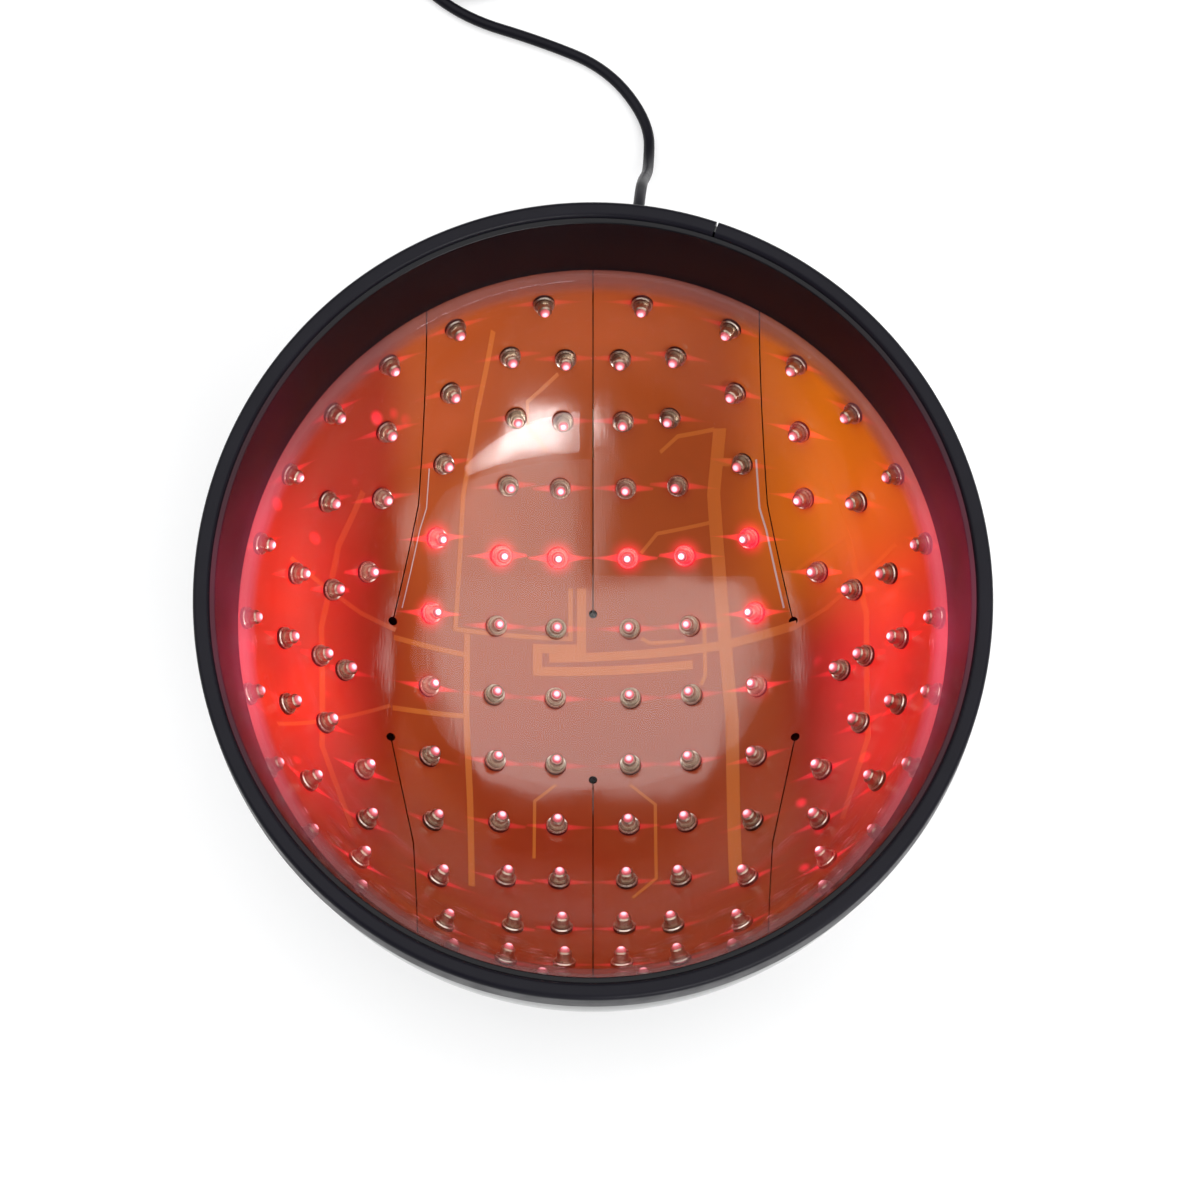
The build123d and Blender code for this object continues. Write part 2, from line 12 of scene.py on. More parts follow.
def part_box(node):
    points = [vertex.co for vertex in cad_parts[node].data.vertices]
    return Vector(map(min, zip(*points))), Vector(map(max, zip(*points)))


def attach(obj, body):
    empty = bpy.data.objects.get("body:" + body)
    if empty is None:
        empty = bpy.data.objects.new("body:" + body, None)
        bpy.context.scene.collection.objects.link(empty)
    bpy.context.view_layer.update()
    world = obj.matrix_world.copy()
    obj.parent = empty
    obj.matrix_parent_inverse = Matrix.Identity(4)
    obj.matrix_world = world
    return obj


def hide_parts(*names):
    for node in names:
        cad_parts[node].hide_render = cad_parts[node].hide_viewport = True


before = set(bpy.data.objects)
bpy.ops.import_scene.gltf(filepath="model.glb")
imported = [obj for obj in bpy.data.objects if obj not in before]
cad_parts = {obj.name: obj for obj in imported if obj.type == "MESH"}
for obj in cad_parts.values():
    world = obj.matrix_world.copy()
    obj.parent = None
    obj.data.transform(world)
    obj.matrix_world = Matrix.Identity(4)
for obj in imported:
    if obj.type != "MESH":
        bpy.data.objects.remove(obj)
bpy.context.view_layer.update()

bl_info = {
    "name": "Laser Therapy Cap",
    "version": (1, 0, 0),
    "blender": (4, 5, 0),
    "location": "3D View > Sidebar > Cap",
    "description": "Shell, rim, flexible circuit, laser diodes, liner, lead and stage of a laser therapy cap",
    "category": "Object",
}

MM = 0.001
WELD = 1e-7              # points nearer than this are one point, in metres
CAP_BODY = "cap"
PETALS = ("crown", "back_left", "back_right", "front_left", "front_right", "side_left", "side_right")

RIM_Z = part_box("rim_trim")[1].z
RIM_HALF_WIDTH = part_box("rim_trim")[1].x
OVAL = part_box("rim_trim")[1].y / RIM_HALF_WIDTH

# ---- sizes shared by several pieces, in millimetres, as in the CAD model -------------------------
FILM_HALF_WIDTH = 93.5
FILM_DEPTH = 93.5
FILM_THICKNESS = 0.3
FILM_EDGE_DEPTH = 24.5
NECK_HOLE = (51.5, 15.5)
SEAM_BEND = (45.0, 45.0)
SEAM_END = (40.5, 95.0)
CROWN_HOLE_Y = 22.5
TIP_HALF_WIDTH = 89.3
TIP_DEPTH = 88.8
# crown columns: distance from the centre line, degrees between rows, rows each way, pinch, end row
COLUMNS = (
    (9.4, 10.95, 6, 0.42, 12.0),
    (24.6, 11.2, 5, 0.45, 20.4),
    (41.0, 12.9, 5, 0.22, 33.8),
)
# side rows: depth of the tips, diodes each way, degrees to the first, growth of the step, turn
SIDE_ROWS = (
    (35.0, 4, 12.55, 0.0, 2.5),
    (49.5, 3, 10.95, 1.25, 2.5),
    (59.5, 2, 10.1, 4.0, 1.7),
    (65.0, 1, 23.4, 0.0, 0.0),
)
BRIGHT_ROWS = {(0, 2), (1, 2), (2, 2), (2, 1)}     # (column, row) of the diodes that glare most
DIODE_SIDES = 20

# Copper tracks on the film, as width and corners in plan.
TRACKS = (
    (3.4, ((33.0, 64.0), (31.5, 50.0), (34.5, 12.0), (36.0, -8.0), (36.0, -56.0))),
    (2.4, ((53.0, 14.5), (34.5, 12.5), (5.0, 11.5), (-11.5, 10.8))),
    (2.4, ((26.0, 8.2), (-14.5, 7.2), (-14.5, 13.2), (-3.0, 13.4), (-3.0, 29.0))),
    (1.2, ((-5.9, 29.0), (-5.9, 16.0), (-35.9, 16.4), (-34.0, 49.0), (-30.0, 68.0), (-25.5, 83.0))),
    (1.6, ((-32.8, 15.6), (-32.8, -6.0), (-31.5, -30.0), (-30.5, -56.0))),
    (1.4, ((-52.0, 11.5), (-32.8, 10.0))),
    (1.4, ((-52.0, -7.5), (-32.8, -6.5))),
    (0.9, ((12.6, 37.5), (16.8, 42.0), (31.5, 43.5))),
    (0.9, ((31.5, 64.0), (22.0, 63.5), (17.5, 60.5))),
    (1.8, ((32.5, 57.0), (42.0, 55.5))),
    (0.9, ((12.6, 16.0), (14.8, 14.6), (24.0, 14.6))),
    (1.0, ((29.0, 18.5), (29.2, 5.0), (28.0, 2.5))),
    (1.2, ((51.5, 13.5), (60.0, 17.0), (76.0, 27.0))),
    (1.2, ((60.0, 47.0), (65.0, 33.0), (69.5, 13.0), (69.0, -20.0), (62.0, -42.0))),
    (1.0, ((53.0, 28.5), (65.0, 33.5))),
    (1.2, ((-51.5, 13.5), (-60.0, 16.0), (-76.0, 24.0))),
    (1.2, ((-59.0, 45.0), (-65.0, 31.0), (-69.0, 10.0), (-68.0, -22.0), (-60.0, -44.0))),
    (1.0, ((-52.5, -7.0), (-62.0, -12.0), (-78.0, -20.0))),
    (0.8, ((-9.0, 77.0), (-17.0, 71.0), (-17.0, 66.0), (-12.0, 61.0))),
    (0.8, ((9.5, -24.0), (16.0, -30.0), (16.0, -52.0), (10.0, -58.0))),
    (0.8, ((-9.5, -24.0), (-15.0, -29.0), (-15.0, -46.0))),
)

# Painted highlights: pale strips along the turned-up edges of the film at the back seams, where they catch the
# light, as width and corners in plan.
SEAM_HIGHLIGHTS = (
    (0.45, ((49.9, 19.5), (45.4, 39.5), (43.6, 45.0), (42.6, 56.0))),
    (0.22, ((-49.9, 19.5), (-45.4, 39.5), (-43.6, 45.0), (-42.8, 54.0))),
)

# ---- lead: its route in metres, the same points as the CAD model's -------------------------------
LEAD_RADIUS = 0.0015
LEAD_ROUTE = (
    (0.0104, 0.1063, 0.0552),
    (0.0117, 0.1184, 0.0507),
    (0.0128, 0.1310, 0.0400),
    (0.0140, 0.1415, 0.0200),
    (0.0152, 0.1510, 0.0050),
    (0.0156, 0.1665, 0.0015),
    (0.0040, 0.1830, 0.0015),
    (-0.0150, 0.1915, 0.0015),
    (-0.0360, 0.1985, 0.0015),
    (-0.0510, 0.2115, 0.0015),
)
TAIL_ROUTE = (
    (-0.0330, 0.2501, 0.0045),
    (-0.0270, 0.2501, 0.0058),
    (-0.0206, 0.2501, 0.0058),
)
COIL_CENTRE = (-0.0366, 0.2281)
COIL_OUTER_TURN = 0.022
COIL_INNER_TURN = 0.013
COIL_TURNS = 7.386
COIL_POINTS_PER_TURN = 24


# ---- properties ----------------------------------------------------------------------------------

class CapSizes(bpy.types.PropertyGroup):
    """Sizes that a user would change."""

    header_radius: FloatProperty(
        name="Header Radius", description="Radius of a diode's round base", default=2.8 * MM, unit="LENGTH")
    header_height: FloatProperty(
        name="Header Height", description="Thickness of a diode's round base", default=1.2 * MM, unit="LENGTH")
    can_radius: FloatProperty(
        name="Can Radius", description="Radius of a diode's metal can", default=1.8 * MM, unit="LENGTH")
    can_height: FloatProperty(
        name="Can Height", description="Height of the can above the base", default=2.5 * MM, unit="LENGTH")
    lens_radius: FloatProperty(
        name="Lens Radius", description="Radius of the lens on top of the can", default=1.3 * MM, unit="LENGTH")
    lens_height: FloatProperty(
        name="Lens Height", description="How far the lens stands out", default=0.95 * MM, unit="LENGTH")
    seam_ridge: FloatProperty(
        name="Seam Ridge", description="How far the film stands proud along a side seam",
        default=1.3 * MM, unit="LENGTH")
    seam_ridge_width: FloatProperty(
        name="Seam Ridge Width", description="How far from a seam the film starts to rise",
        default=20.0 * MM, unit="LENGTH")
    boot_ribs: IntProperty(
        name="Boot Ribs", description="Rings moulded round a strain relief", default=6, min=0)


class CapColours(bpy.types.PropertyGroup):
    """Colours that a user would change."""

    film: FloatVectorProperty(
        name="Film", description="Amber film at the back of the cap", subtype="COLOR",
        default=(0.46, 0.098, 0.020))
    film_front: FloatVectorProperty(
        name="Film Front", description="Amber film at the front of the cap", subtype="COLOR",
        default=(0.27, 0.030, 0.010))
    film_bright: FloatVectorProperty(
        name="Film Bright", description="Amber film where light comes through", subtype="COLOR",
        default=(1.0, 0.28, 0.008))
    copper: FloatVectorProperty(
        name="Copper", description="Copper tracks under the film's lacquer", subtype="COLOR",
        default=(0.64, 0.18, 0.032))
    laser: FloatVectorProperty(
        name="Laser", description="Light of the diodes", subtype="COLOR", default=(1.0, 0.014, 0.055))
    black: FloatVectorProperty(
        name="Black", description="Black mouldings", subtype="COLOR", default=(0.0045, 0.0042, 0.0065))


# ---- node trees ----------------------------------------------------------------------------------

def add(tree, kind, inputs=None, **settings):
    """Adds a node, sets it up, and fills or links its inputs."""
    node = tree.nodes.new(kind)
    for name, value in settings.items():
        setattr(node, name, value)
    for key, value in (inputs or {}).items():
        socket = node.inputs[key]
        if isinstance(value, bpy.types.NodeSocket):
            tree.links.new(value, socket)
        else:
            socket.default_value = value
    return node


def maths(tree, operation, *values):
    """A Math node's result."""
    return add(tree, "ShaderNodeMath", dict(enumerate(values)), operation=operation).outputs[0]


def times(tree, *values):
    """Values multiplied together, from the left."""
    result = values[0]
    for value in values[1:]:
        result = maths(tree, "MULTIPLY", result, value)
    return result


def map_range(tree, value, low, high, to_low=0.0, to_high=1.0, smooth=True):
    """A value moved from one range to another, eased at both ends."""
    inputs = {"Value": value, "From Min": low, "From Max": high, "To Min": to_low, "To Max": to_high}
    kind = "SMOOTHSTEP" if smooth else "LINEAR"
    return add(tree, "ShaderNodeMapRange", inputs, interpolation_type=kind).outputs["Result"]


def mixed(tree, factor, first, second):
    """A colour between two colours."""
    node = tree.nodes.new("ShaderNodeMix")
    node.data_type = "RGBA"
    for socket, value in ((node.inputs[0], factor), (node.inputs[6], first), (node.inputs[7], second)):
        if isinstance(value, bpy.types.NodeSocket):
            tree.links.new(value, socket)
        else:
            socket.default_value = value
    return node.outputs[2]


def opaque(colour):
    """A colour with full alpha."""
    return (*colour, 1.0)


def scaled(colour, factor):
    """A colour made lighter or darker."""
    return tuple(part * factor for part in colour)


def new_material(name):
    """An empty material and its tree."""
    material = bpy.data.materials.new(name)
    material.use_nodes = True
    material.node_tree.nodes.clear()
    return material, material.node_tree


def object_point(tree):
    """Place on the piece, in metres."""
    return tree.nodes.new("ShaderNodeTexCoord").outputs["Object"]


def noise(tree, scale, detail=3.0, vector=None):
    """A noise value on the piece's own coordinates."""
    inputs = {"Vector": vector or object_point(tree), "Scale": scale, "Detail": detail, "Roughness": 0.55}
    return add(tree, "ShaderNodeTexNoise", inputs).outputs[0]


def bump(tree, height, strength, distance):
    """A normal from a height."""
    inputs = {"Height": height, "Strength": strength, "Distance": distance}
    return add(tree, "ShaderNodeBump", inputs).outputs[0]


def finish_material(material, tree, shader):
    """Puts the shader on the material's output."""
    add(tree, "ShaderNodeOutputMaterial", {"Surface": shader})
    return material


def moulded(name, colour, roughness, grain_scale, grain_depth, variation=0.25, smudge=0.12, shine=0.5):
    """Moulded plastic or rubber: uneven colour, smudged gloss and a fine surface grain."""
    material, tree = new_material(name)
    patches = noise(tree, 60.0)
    smudges = noise(tree, 140.0, 4.0)
    grain = noise(tree, grain_scale, 2.0)
    shade = mixed(tree, patches, opaque(scaled(colour, 1 - variation)), opaque(scaled(colour, 1 + variation)))
    inputs = {
        "Base Color": shade,
        "Roughness": map_range(tree, smudges, 0.3, 0.7, roughness - smudge / 2, roughness + smudge / 2),
        "Normal": bump(tree, grain, 0.5, grain_depth),
        "Specular IOR Level": shine,
    }
    shader = add(tree, "ShaderNodeBsdfPrincipled", inputs)
    return finish_material(material, tree, shader.outputs[0])


def bezel_shader(name, colour, laser):
    """Satin black moulding with the lasers' light on its two sides."""
    material, tree = new_material(name)
    across, along, _ = add(tree, "ShaderNodeSeparateXYZ", {0: object_point(tree)}).outputs
    glow = wall_glow(tree, across, along)
    smudges = noise(tree, 90.0, 3.0)
    grain = noise(tree, 2200.0, 2.0)
    inputs = {
        "Base Color": mixed(tree, smudges, opaque(scaled(colour, 0.6)), opaque(colour)),
        "Roughness": map_range(tree, smudges, 0.3, 0.7, 0.22, 0.27),
        "Normal": bump(tree, grain, 0.4, 0.00001),
        "Specular IOR Level": 0.18,
        "Emission Color": opaque((laser[0] * 0.28, laser[1], laser[2])),
        "Emission Strength": times(tree, glow, 0.42),
    }
    shader = add(tree, "ShaderNodeBsdfPrincipled", inputs)
    return finish_material(material, tree, shader.outputs[0])


def plated(name, colour, roughness, glow=None):
    """Plated metal with fine turning marks, and optionally the light of a diode on it."""
    material, tree = new_material(name)
    tarnish = noise(tree, 900.0, 3.0)
    marks = noise(tree, 4500.0, 2.0)
    shade = mixed(tree, tarnish, opaque(scaled(colour, 0.72)), opaque(colour))
    inputs = {
        "Base Color": shade,
        "Metallic": 1.0,
        "Roughness": map_range(tree, marks, 0.3, 0.7, roughness - 0.06, roughness + 0.1),
        "Normal": bump(tree, marks, 0.25, 0.00002),
    }
    if glow:
        power = add(tree, "ShaderNodeAttribute", attribute_name="power").outputs["Fac"]
        inputs["Emission Color"] = opaque(glow)
        inputs["Emission Strength"] = times(tree, maths(tree, "POWER", power, 4.0), 0.9)
    shader = add(tree, "ShaderNodeBsdfPrincipled", inputs)
    return finish_material(material, tree, shader.outputs[0])


# ---- mesh helpers --------------------------------------------------------------------------------

def mesh_piece(name, vertices, faces, material, sharp=35.0):
    """A mesh object at the origin, smooth but for edges sharper than the given angle."""
    mesh = bpy.data.meshes.new(name)
    mesh.from_pydata([tuple(v) for v in vertices], [], faces)
    return finished(mesh, name, material, sharp)


def finished(mesh, name, material, sharp=35.0):
    """Links a mesh as a piece with clean outward normals."""
    work = bmesh.new()
    work.from_mesh(mesh)
    bmesh.ops.remove_doubles(work, verts=work.verts, dist=WELD)
    bmesh.ops.recalc_face_normals(work, faces=work.faces)
    work.to_mesh(mesh)
    work.free()
    mesh.shade_smooth()
    mesh.set_sharp_from_angle(angle=radians(sharp))
    piece = bpy.data.objects.new(name, mesh)
    bpy.context.scene.collection.objects.link(piece)
    mesh.materials.clear()
    mesh.materials.append(material)
    return piece


def lathe(name, profile, material, segments, oval=1.0, matrix=None):
    """Turns a closed profile of (radius, height) in metres round Z, stretched along Y by oval."""
    vertices, faces = [], []
    count = len(profile)
    for step in range(segments):
        angle = 2 * pi * step / segments
        for radius, height in profile:
            vertices.append(Vector((radius * cos(angle), radius * sin(angle) * oval, height)))
    for step in range(segments):
        here, there = step * count, (step + 1) % segments * count
        for index in range(count):
            after = (index + 1) % count
            faces.append((here + index, there + index, there + after, here + after))
    if matrix:
        vertices = [matrix @ vertex for vertex in vertices]
    mesh = bpy.data.meshes.new(name)
    mesh.from_pydata([tuple(v) for v in vertices], [], faces)
    work = bmesh.new()
    work.from_mesh(mesh)
    bmesh.ops.remove_doubles(work, verts=work.verts, dist=WELD)
    bmesh.ops.dissolve_degenerate(work, dist=1e-8, edges=work.edges)
    work.to_mesh(mesh)
    work.free()
    return finished(mesh, name, material)


def arc(centre, radius_x, radius_z, start, end, steps):
    """Points along part of an ellipse, in degrees."""
    points = []
    for step in range(steps + 1):
        angle = radians(start + (end - start) * step / steps)
        points.append((centre[0] + radius_x * cos(angle), centre[1] + radius_z * sin(angle)))
    return points


def depth_z(depth):
    """Height in metres of a depth in millimetres below the rim."""
    return RIM_Z - depth * MM


def place_piece(piece, slot, *nodes):
    """Rides a piece on the cap and hides the CAD nodes it stands for."""
    if nodes:
        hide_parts(*nodes)
    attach(piece, CAP_BODY)
    return piece


# ---- the film's surface --------------------------------------------------------------------------

def seam_x(along):
    """Distance of a side seam from the centre line, in millimetres, at this distance along Y."""
    return np.interp(
        np.abs(along), (0, NECK_HOLE[1], SEAM_BEND[1], SEAM_END[1]),
        (NECK_HOLE[0], NECK_HOLE[0], SEAM_BEND[0], SEAM_END[0]))


def ridge(across, along):
    """How far the film stands proud into the bowl near its folds, in metres."""
    sizes = bpy.context.scene.cap_sizes
    width = sizes.seam_ridge_width / MM
    side = np.clip(1 - np.abs(np.abs(across) - seam_x(along)) / width, 0, 1)
    centre = np.clip(1 - np.abs(across) / width, 0, 1)
    split = np.clip((np.abs(along) - CROWN_HOLE_Y) / width, 0, 1)
    return sizes.seam_ridge * (side + 0.6 * centre * split)


def film_point(across, along, offset=0.0):
    """Point and inward normal on the film, for fractions of its dome, lifted into the bowl."""
    down = sqrt(max(1 - across**2 - along**2, 1e-9))
    half_length = FILM_HALF_WIDTH * OVAL
    point = Vector((across * FILM_HALF_WIDTH, along * half_length, -down * FILM_DEPTH))
    normal = Vector((-across / FILM_HALF_WIDTH, -along / half_length, down / FILM_DEPTH)).normalized()
    lift = float(ridge(point.x, point.y)) + offset
    return Vector((0, 0, RIM_Z)) + point * MM + normal * lift, normal


def film_at(x, y, offset=0.0):
    """Point and normal on the film above a place in plan, in millimetres."""
    return film_point(x / FILM_HALF_WIDTH, y / (FILM_HALF_WIDTH * OVAL), offset)


def film_facing(across, along):
    """Normal of the film with its folds, from neighbouring points."""
    step = 0.01
    here = film_point(across, along)[0]
    aside = film_point(across + step, along)[0] - here
    ahead = film_point(across, along + step)[0] - here
    return aside.cross(ahead).normalized()


def diode_seats():
    """Every diode's place in fractions of the dome, with its brightness from 0 to 1."""
    shuffle = random.Random(11)
    seats = []
    for column, (offset, pitch, rows, pinch, end_offset) in enumerate(COLUMNS):
        for row in range(-rows, rows + 1):
            angle = radians(pitch * row)
            across = offset * (1 - pinch * sin(angle) ** 2)
            if abs(row) == rows:
                across = end_offset
            across /= TIP_HALF_WIDTH
            along = sin(angle) * sqrt(1 - across**2)
            for side in (1, -1):
                power = 1.0 if (column, row) in BRIGHT_ROWS else 0.30 + 0.2 * shuffle.random()
                if column == 2 and row == 0:
                    power = 0.7
                seats.append((side * across, along, power))
    for depth, reach, first, growth, turn in SIDE_ROWS:
        around = sqrt(1 - (depth / TIP_DEPTH) ** 2)
        for index in range(-reach, reach + 1):
            angle = radians(index * (first + growth * abs(index)) + turn)
            for side in (1, -1):
                power = 0.42 + 0.25 * shuffle.random()
                seats.append((side * around * cos(angle), around * sin(angle), power))
    return seats


def mark_beams(piece):
    """Gives each face its place relative to the nearest diode, in millimetres, and that diode's power."""
    seats = diode_seats()
    places = np.array([film_point(a, b)[0] for a, b, _ in seats])
    normals = [film_point(a, b)[1] for a, b, _ in seats]
    mesh = piece.data
    tangents = []
    for normal in normals:
        sideways = (Vector((1, 0, 0)) - normal * normal.x).normalized()
        tangents.append((sideways, normal.cross(sideways)))
    values = np.zeros(len(mesh.loops) * 2, np.float32)
    powers = np.zeros(len(mesh.polygons), np.float32)
    for face in mesh.polygons:
        nearest = int(np.argmin(((places - np.array(face.center)) ** 2).sum(1)))
        sideways, upward = tangents[nearest]
        origin = Vector(places[nearest])
        powers[face.index] = seats[nearest][2]
        for loop in face.loop_indices:
            away = mesh.vertices[mesh.loops[loop].vertex_index].co - origin
            values[2 * loop] = away.dot(sideways) / MM
            values[2 * loop + 1] = away.dot(upward) / MM
    mesh.uv_layers.new(name="beam")
    mesh.uv_layers["beam"].data.foreach_set("uv", values)
    mesh.attributes.new("power", "FLOAT", "FACE")
    mesh.attributes["power"].data.foreach_set("value", powers)


# ---- materials of the inside ---------------------------------------------------------------------

def wall_glow(tree, across, along):
    """Red light that the diodes throw on the two side walls, from 0 to 1."""
    centre, spread = -0.004, 0.040
    side = map_range(tree, maths(tree, "ABSOLUTE", across), 0.050, 0.078)
    reach = times(tree, maths(tree, "ADD", along, -centre), 1 / spread)
    middle = maths(tree, "EXPONENT", times(tree, reach, reach, -1.0))
    uneven = map_range(tree, noise(tree, 28.0, 2.0), 0.25, 0.75, 0.55, 1.15)
    return times(tree, side, middle, uneven)


def beam_light(tree):
    """Halo and sideways flares round each diode, from the beam map."""
    beam = add(tree, "ShaderNodeUVMap", uv_map="beam").outputs[0]
    parts = add(tree, "ShaderNodeSeparateXYZ", {0: beam})
    sideways = maths(tree, "ABSOLUTE", parts.outputs[0])
    upward = parts.outputs[1]
    radius = add(tree, "ShaderNodeVectorMath", {0: beam}, operation="LENGTH").outputs["Value"]
    power = add(tree, "ShaderNodeAttribute", attribute_name="power").outputs["Fac"]
    halo = map_range(tree, radius, 1.5, 6.2, 1.0, 0.0, smooth=False)
    halo = times(tree, maths(tree, "POWER", halo, 2.2), maths(tree, "POWER", power, 3.0))
    flare_width = map_range(tree, sideways, 1.5, 10.5, 1.4, 0.08, smooth=False)
    off_axis = maths(tree, "DIVIDE", maths(tree, "ABSOLUTE", upward), flare_width)
    flare = map_range(tree, off_axis, 0.35, 1.0, 1.0, 0.0)
    fading = map_range(tree, sideways, 2.0, 10.0, 1.0, 0.15)
    flare = times(tree, flare, fading, map_range(tree, power, 0.3, 0.9, 0.25, 1.0))
    return maths(tree, "ADD", times(tree, halo, 1.1), flare)


def film_shader(name, back, front, bright, laser, wall, roughness):
    """Glossy amber film: darker to the front, lit from behind at the back right, red where lasers hit."""
    material, tree = new_material(name)
    place = object_point(tree)
    across, along, _ = add(tree, "ShaderNodeSeparateXYZ", {0: place}).outputs
    blotches = noise(tree, 22.0)
    # colour: front to back, blotches, deeper on the side petals, bright at the back right
    base = mixed(tree, map_range(tree, along, -0.06, 0.05), opaque(front), opaque(back))
    base = mixed(tree, map_range(tree, blotches, 0.3, 0.7, 0.0, 0.35), base, opaque(scaled(back, 0.6)))
    outside = map_range(tree, maths(tree, "ABSOLUTE", across), 0.044, 0.056)
    deep = opaque((back[0] * 0.62, back[1] * 0.18, back[2] * 0.3))
    base = mixed(tree, times(tree, outside, 0.85), base, deep)
    right = map_range(tree, across, 0.030, 0.062)
    upper = map_range(tree, along, 0.004, 0.045)
    base = mixed(tree, times(tree, right, upper), base, opaque(bright))
    # light: the glow of the walls, the beams, and long specks on the side petals
    glow = wall_glow(tree, across, along)
    drawn_out = add(tree, "ShaderNodeMapping", {"Vector": place, "Scale": (1.0, 1.0, 0.42)}).outputs[0]
    spots = add(tree, "ShaderNodeTexVoronoi", {"Vector": drawn_out, "Scale": 95.0}).outputs["Distance"]
    spots = map_range(tree, spots, 0.06, 0.2, 1.0, 0.0)
    spots = times(tree, spots, outside, map_range(tree, blotches, 0.45, 0.6, 0.0, 0.9))
    light = maths(tree, "ADD", times(tree, glow, 0.85), beam_light(tree))
    light = maths(tree, "ADD", light, spots)
    # surface: slow ripples with the fine lines of drawn film
    stretched = add(tree, "ShaderNodeMapping", {"Vector": place, "Scale": (1.0, 0.08, 0.08)}).outputs[0]
    drawn = noise(tree, 2600.0, 2.0, vector=stretched)
    ripples = noise(tree, 55.0, 2.0)
    relief = maths(tree, "ADD", times(tree, ripples, 0.9), times(tree, drawn, 0.1))
    inputs = {
        "Base Color": base,
        "Roughness": map_range(tree, blotches, 0.3, 0.7, roughness, roughness + 0.08),
        "Emission Color": mixed(tree, glow, opaque(laser), opaque(wall)),
        "Emission Strength": light,
        "Normal": bump(tree, relief, 0.35, 0.0006),
        "IOR": 1.8,
    }
    shader = add(tree, "ShaderNodeBsdfPrincipled", inputs)
    return finish_material(material, tree, shader.outputs[0])


def lens_shader(name, laser):
    """Lit lens: white hot in the middle, pink to red at its edge."""
    material, tree = new_material(name)
    core = add(tree, "ShaderNodeAttribute", attribute_name="core").outputs["Fac"]
    power = add(tree, "ShaderNodeAttribute", attribute_name="power").outputs["Fac"]
    heat = map_range(tree, core, 0.55, 0.97)
    colour = mixed(tree, heat, opaque((1.0, 0.05, 0.13)), opaque((1.0, 0.45, 0.55)))
    ripple = noise(tree, 2500.0)
    strength = times(tree, map_range(tree, power, 0.3, 1.0, 1.5, 3.6), heat)
    strength = maths(tree, "ADD", strength, map_range(tree, ripple, 0.3, 0.7, 0.18, 0.28))
    inputs = {
        "Base Color": opaque((0.62, 0.20, 0.22)),
        "Roughness": map_range(tree, ripple, 0.3, 0.7, 0.05, 0.12),
        "Emission Color": colour,
        "Emission Strength": strength,
    }
    shader = add(tree, "ShaderNodeBsdfPrincipled", inputs)
    return finish_material(material, tree, shader.outputs[0])


def liner_shader(name):
    """Clear moulded plastic: see-through with sharp reflections, and milky at its thick shoulder, where its
    pink tint and a pink glow on the two sides are painted laser light.
    """
    material, tree = new_material(name)
    place = object_point(tree)
    across, along, height = add(tree, "ShaderNodeSeparateXYZ", {0: place}).outputs
    waves = noise(tree, 18.0, 2.0)
    scuffs = noise(tree, 420.0, 4.0)
    normal = bump(tree, waves, 0.15, 0.0005)
    gloss = add(tree, "ShaderNodeBsdfGlossy", {
        "Color": (1, 1, 1, 1),
        "Roughness": map_range(tree, scuffs, 0.45, 0.75, 0.02, 0.07),
        "Normal": normal})
    clear = add(tree, "ShaderNodeBsdfTransparent", {"Color": (0.985, 0.965, 0.96, 1)})
    # milky shoulder, its pink tint painted laser light
    milk_with_painted_pink = add(tree, "ShaderNodeBsdfDiffuse", {"Color": (0.17, 0.085, 0.09, 1)})
    shoulder = map_range(tree, height, depth_z(28.0), depth_z(23.6), 0.0, 0.34)
    body = add(tree, "ShaderNodeMixShader", {0: shoulder, 1: clear.outputs[0], 2: milk_with_painted_pink.outputs[0]})
    # painted laser light: a pink glow on the shoulder at the two side walls
    glow = times(tree, wall_glow(tree, across, along), shoulder)
    pink = add(tree, "ShaderNodeEmission", {"Color": (1.0, 0.09, 0.19, 1), "Strength": glow})
    body = add(tree, "ShaderNodeAddShader", {0: body.outputs[0], 1: pink.outputs[0]})
    slant = add(tree, "ShaderNodeLayerWeight", {"Blend": 0.5, "Normal": normal}).outputs["Facing"]
    shine = maths(tree, "MULTIPLY_ADD", maths(tree, "POWER", slant, 5.0), 0.7, 0.007)
    shader = add(tree, "ShaderNodeMixShader", {0: shine, 1: body.outputs[0], 2: gloss.outputs[0]})
    return finish_material(material, tree, shader.outputs[0])


def woven(name, colour):
    """Woven strap: a fine over-and-under weave with loose fibres."""
    material, tree = new_material(name)
    place = object_point(tree)
    thread = {"Vector": place, "Scale": 420.0, "Distortion": 0.6}
    warp = add(tree, "ShaderNodeTexWave", thread, bands_direction="X").outputs[1]
    weft = add(tree, "ShaderNodeTexWave", thread, bands_direction="Y").outputs[1]
    weave = times(tree, warp, weft)
    fuzz = noise(tree, 2200.0)
    inputs = {
        "Base Color": mixed(tree, weave, opaque(scaled(colour, 0.5)), opaque(scaled(colour, 1.6))),
        "Roughness": map_range(tree, fuzz, 0.3, 0.7, 0.75, 0.95),
        "Sheen Weight": 0.3,
        "Normal": bump(tree, weave, 0.6, 0.0002),
    }
    shader = add(tree, "ShaderNodeBsdfPrincipled", inputs)
    return finish_material(material, tree, shader.outputs[0])


# ---- operators -----------------------------------------------------------------------------------

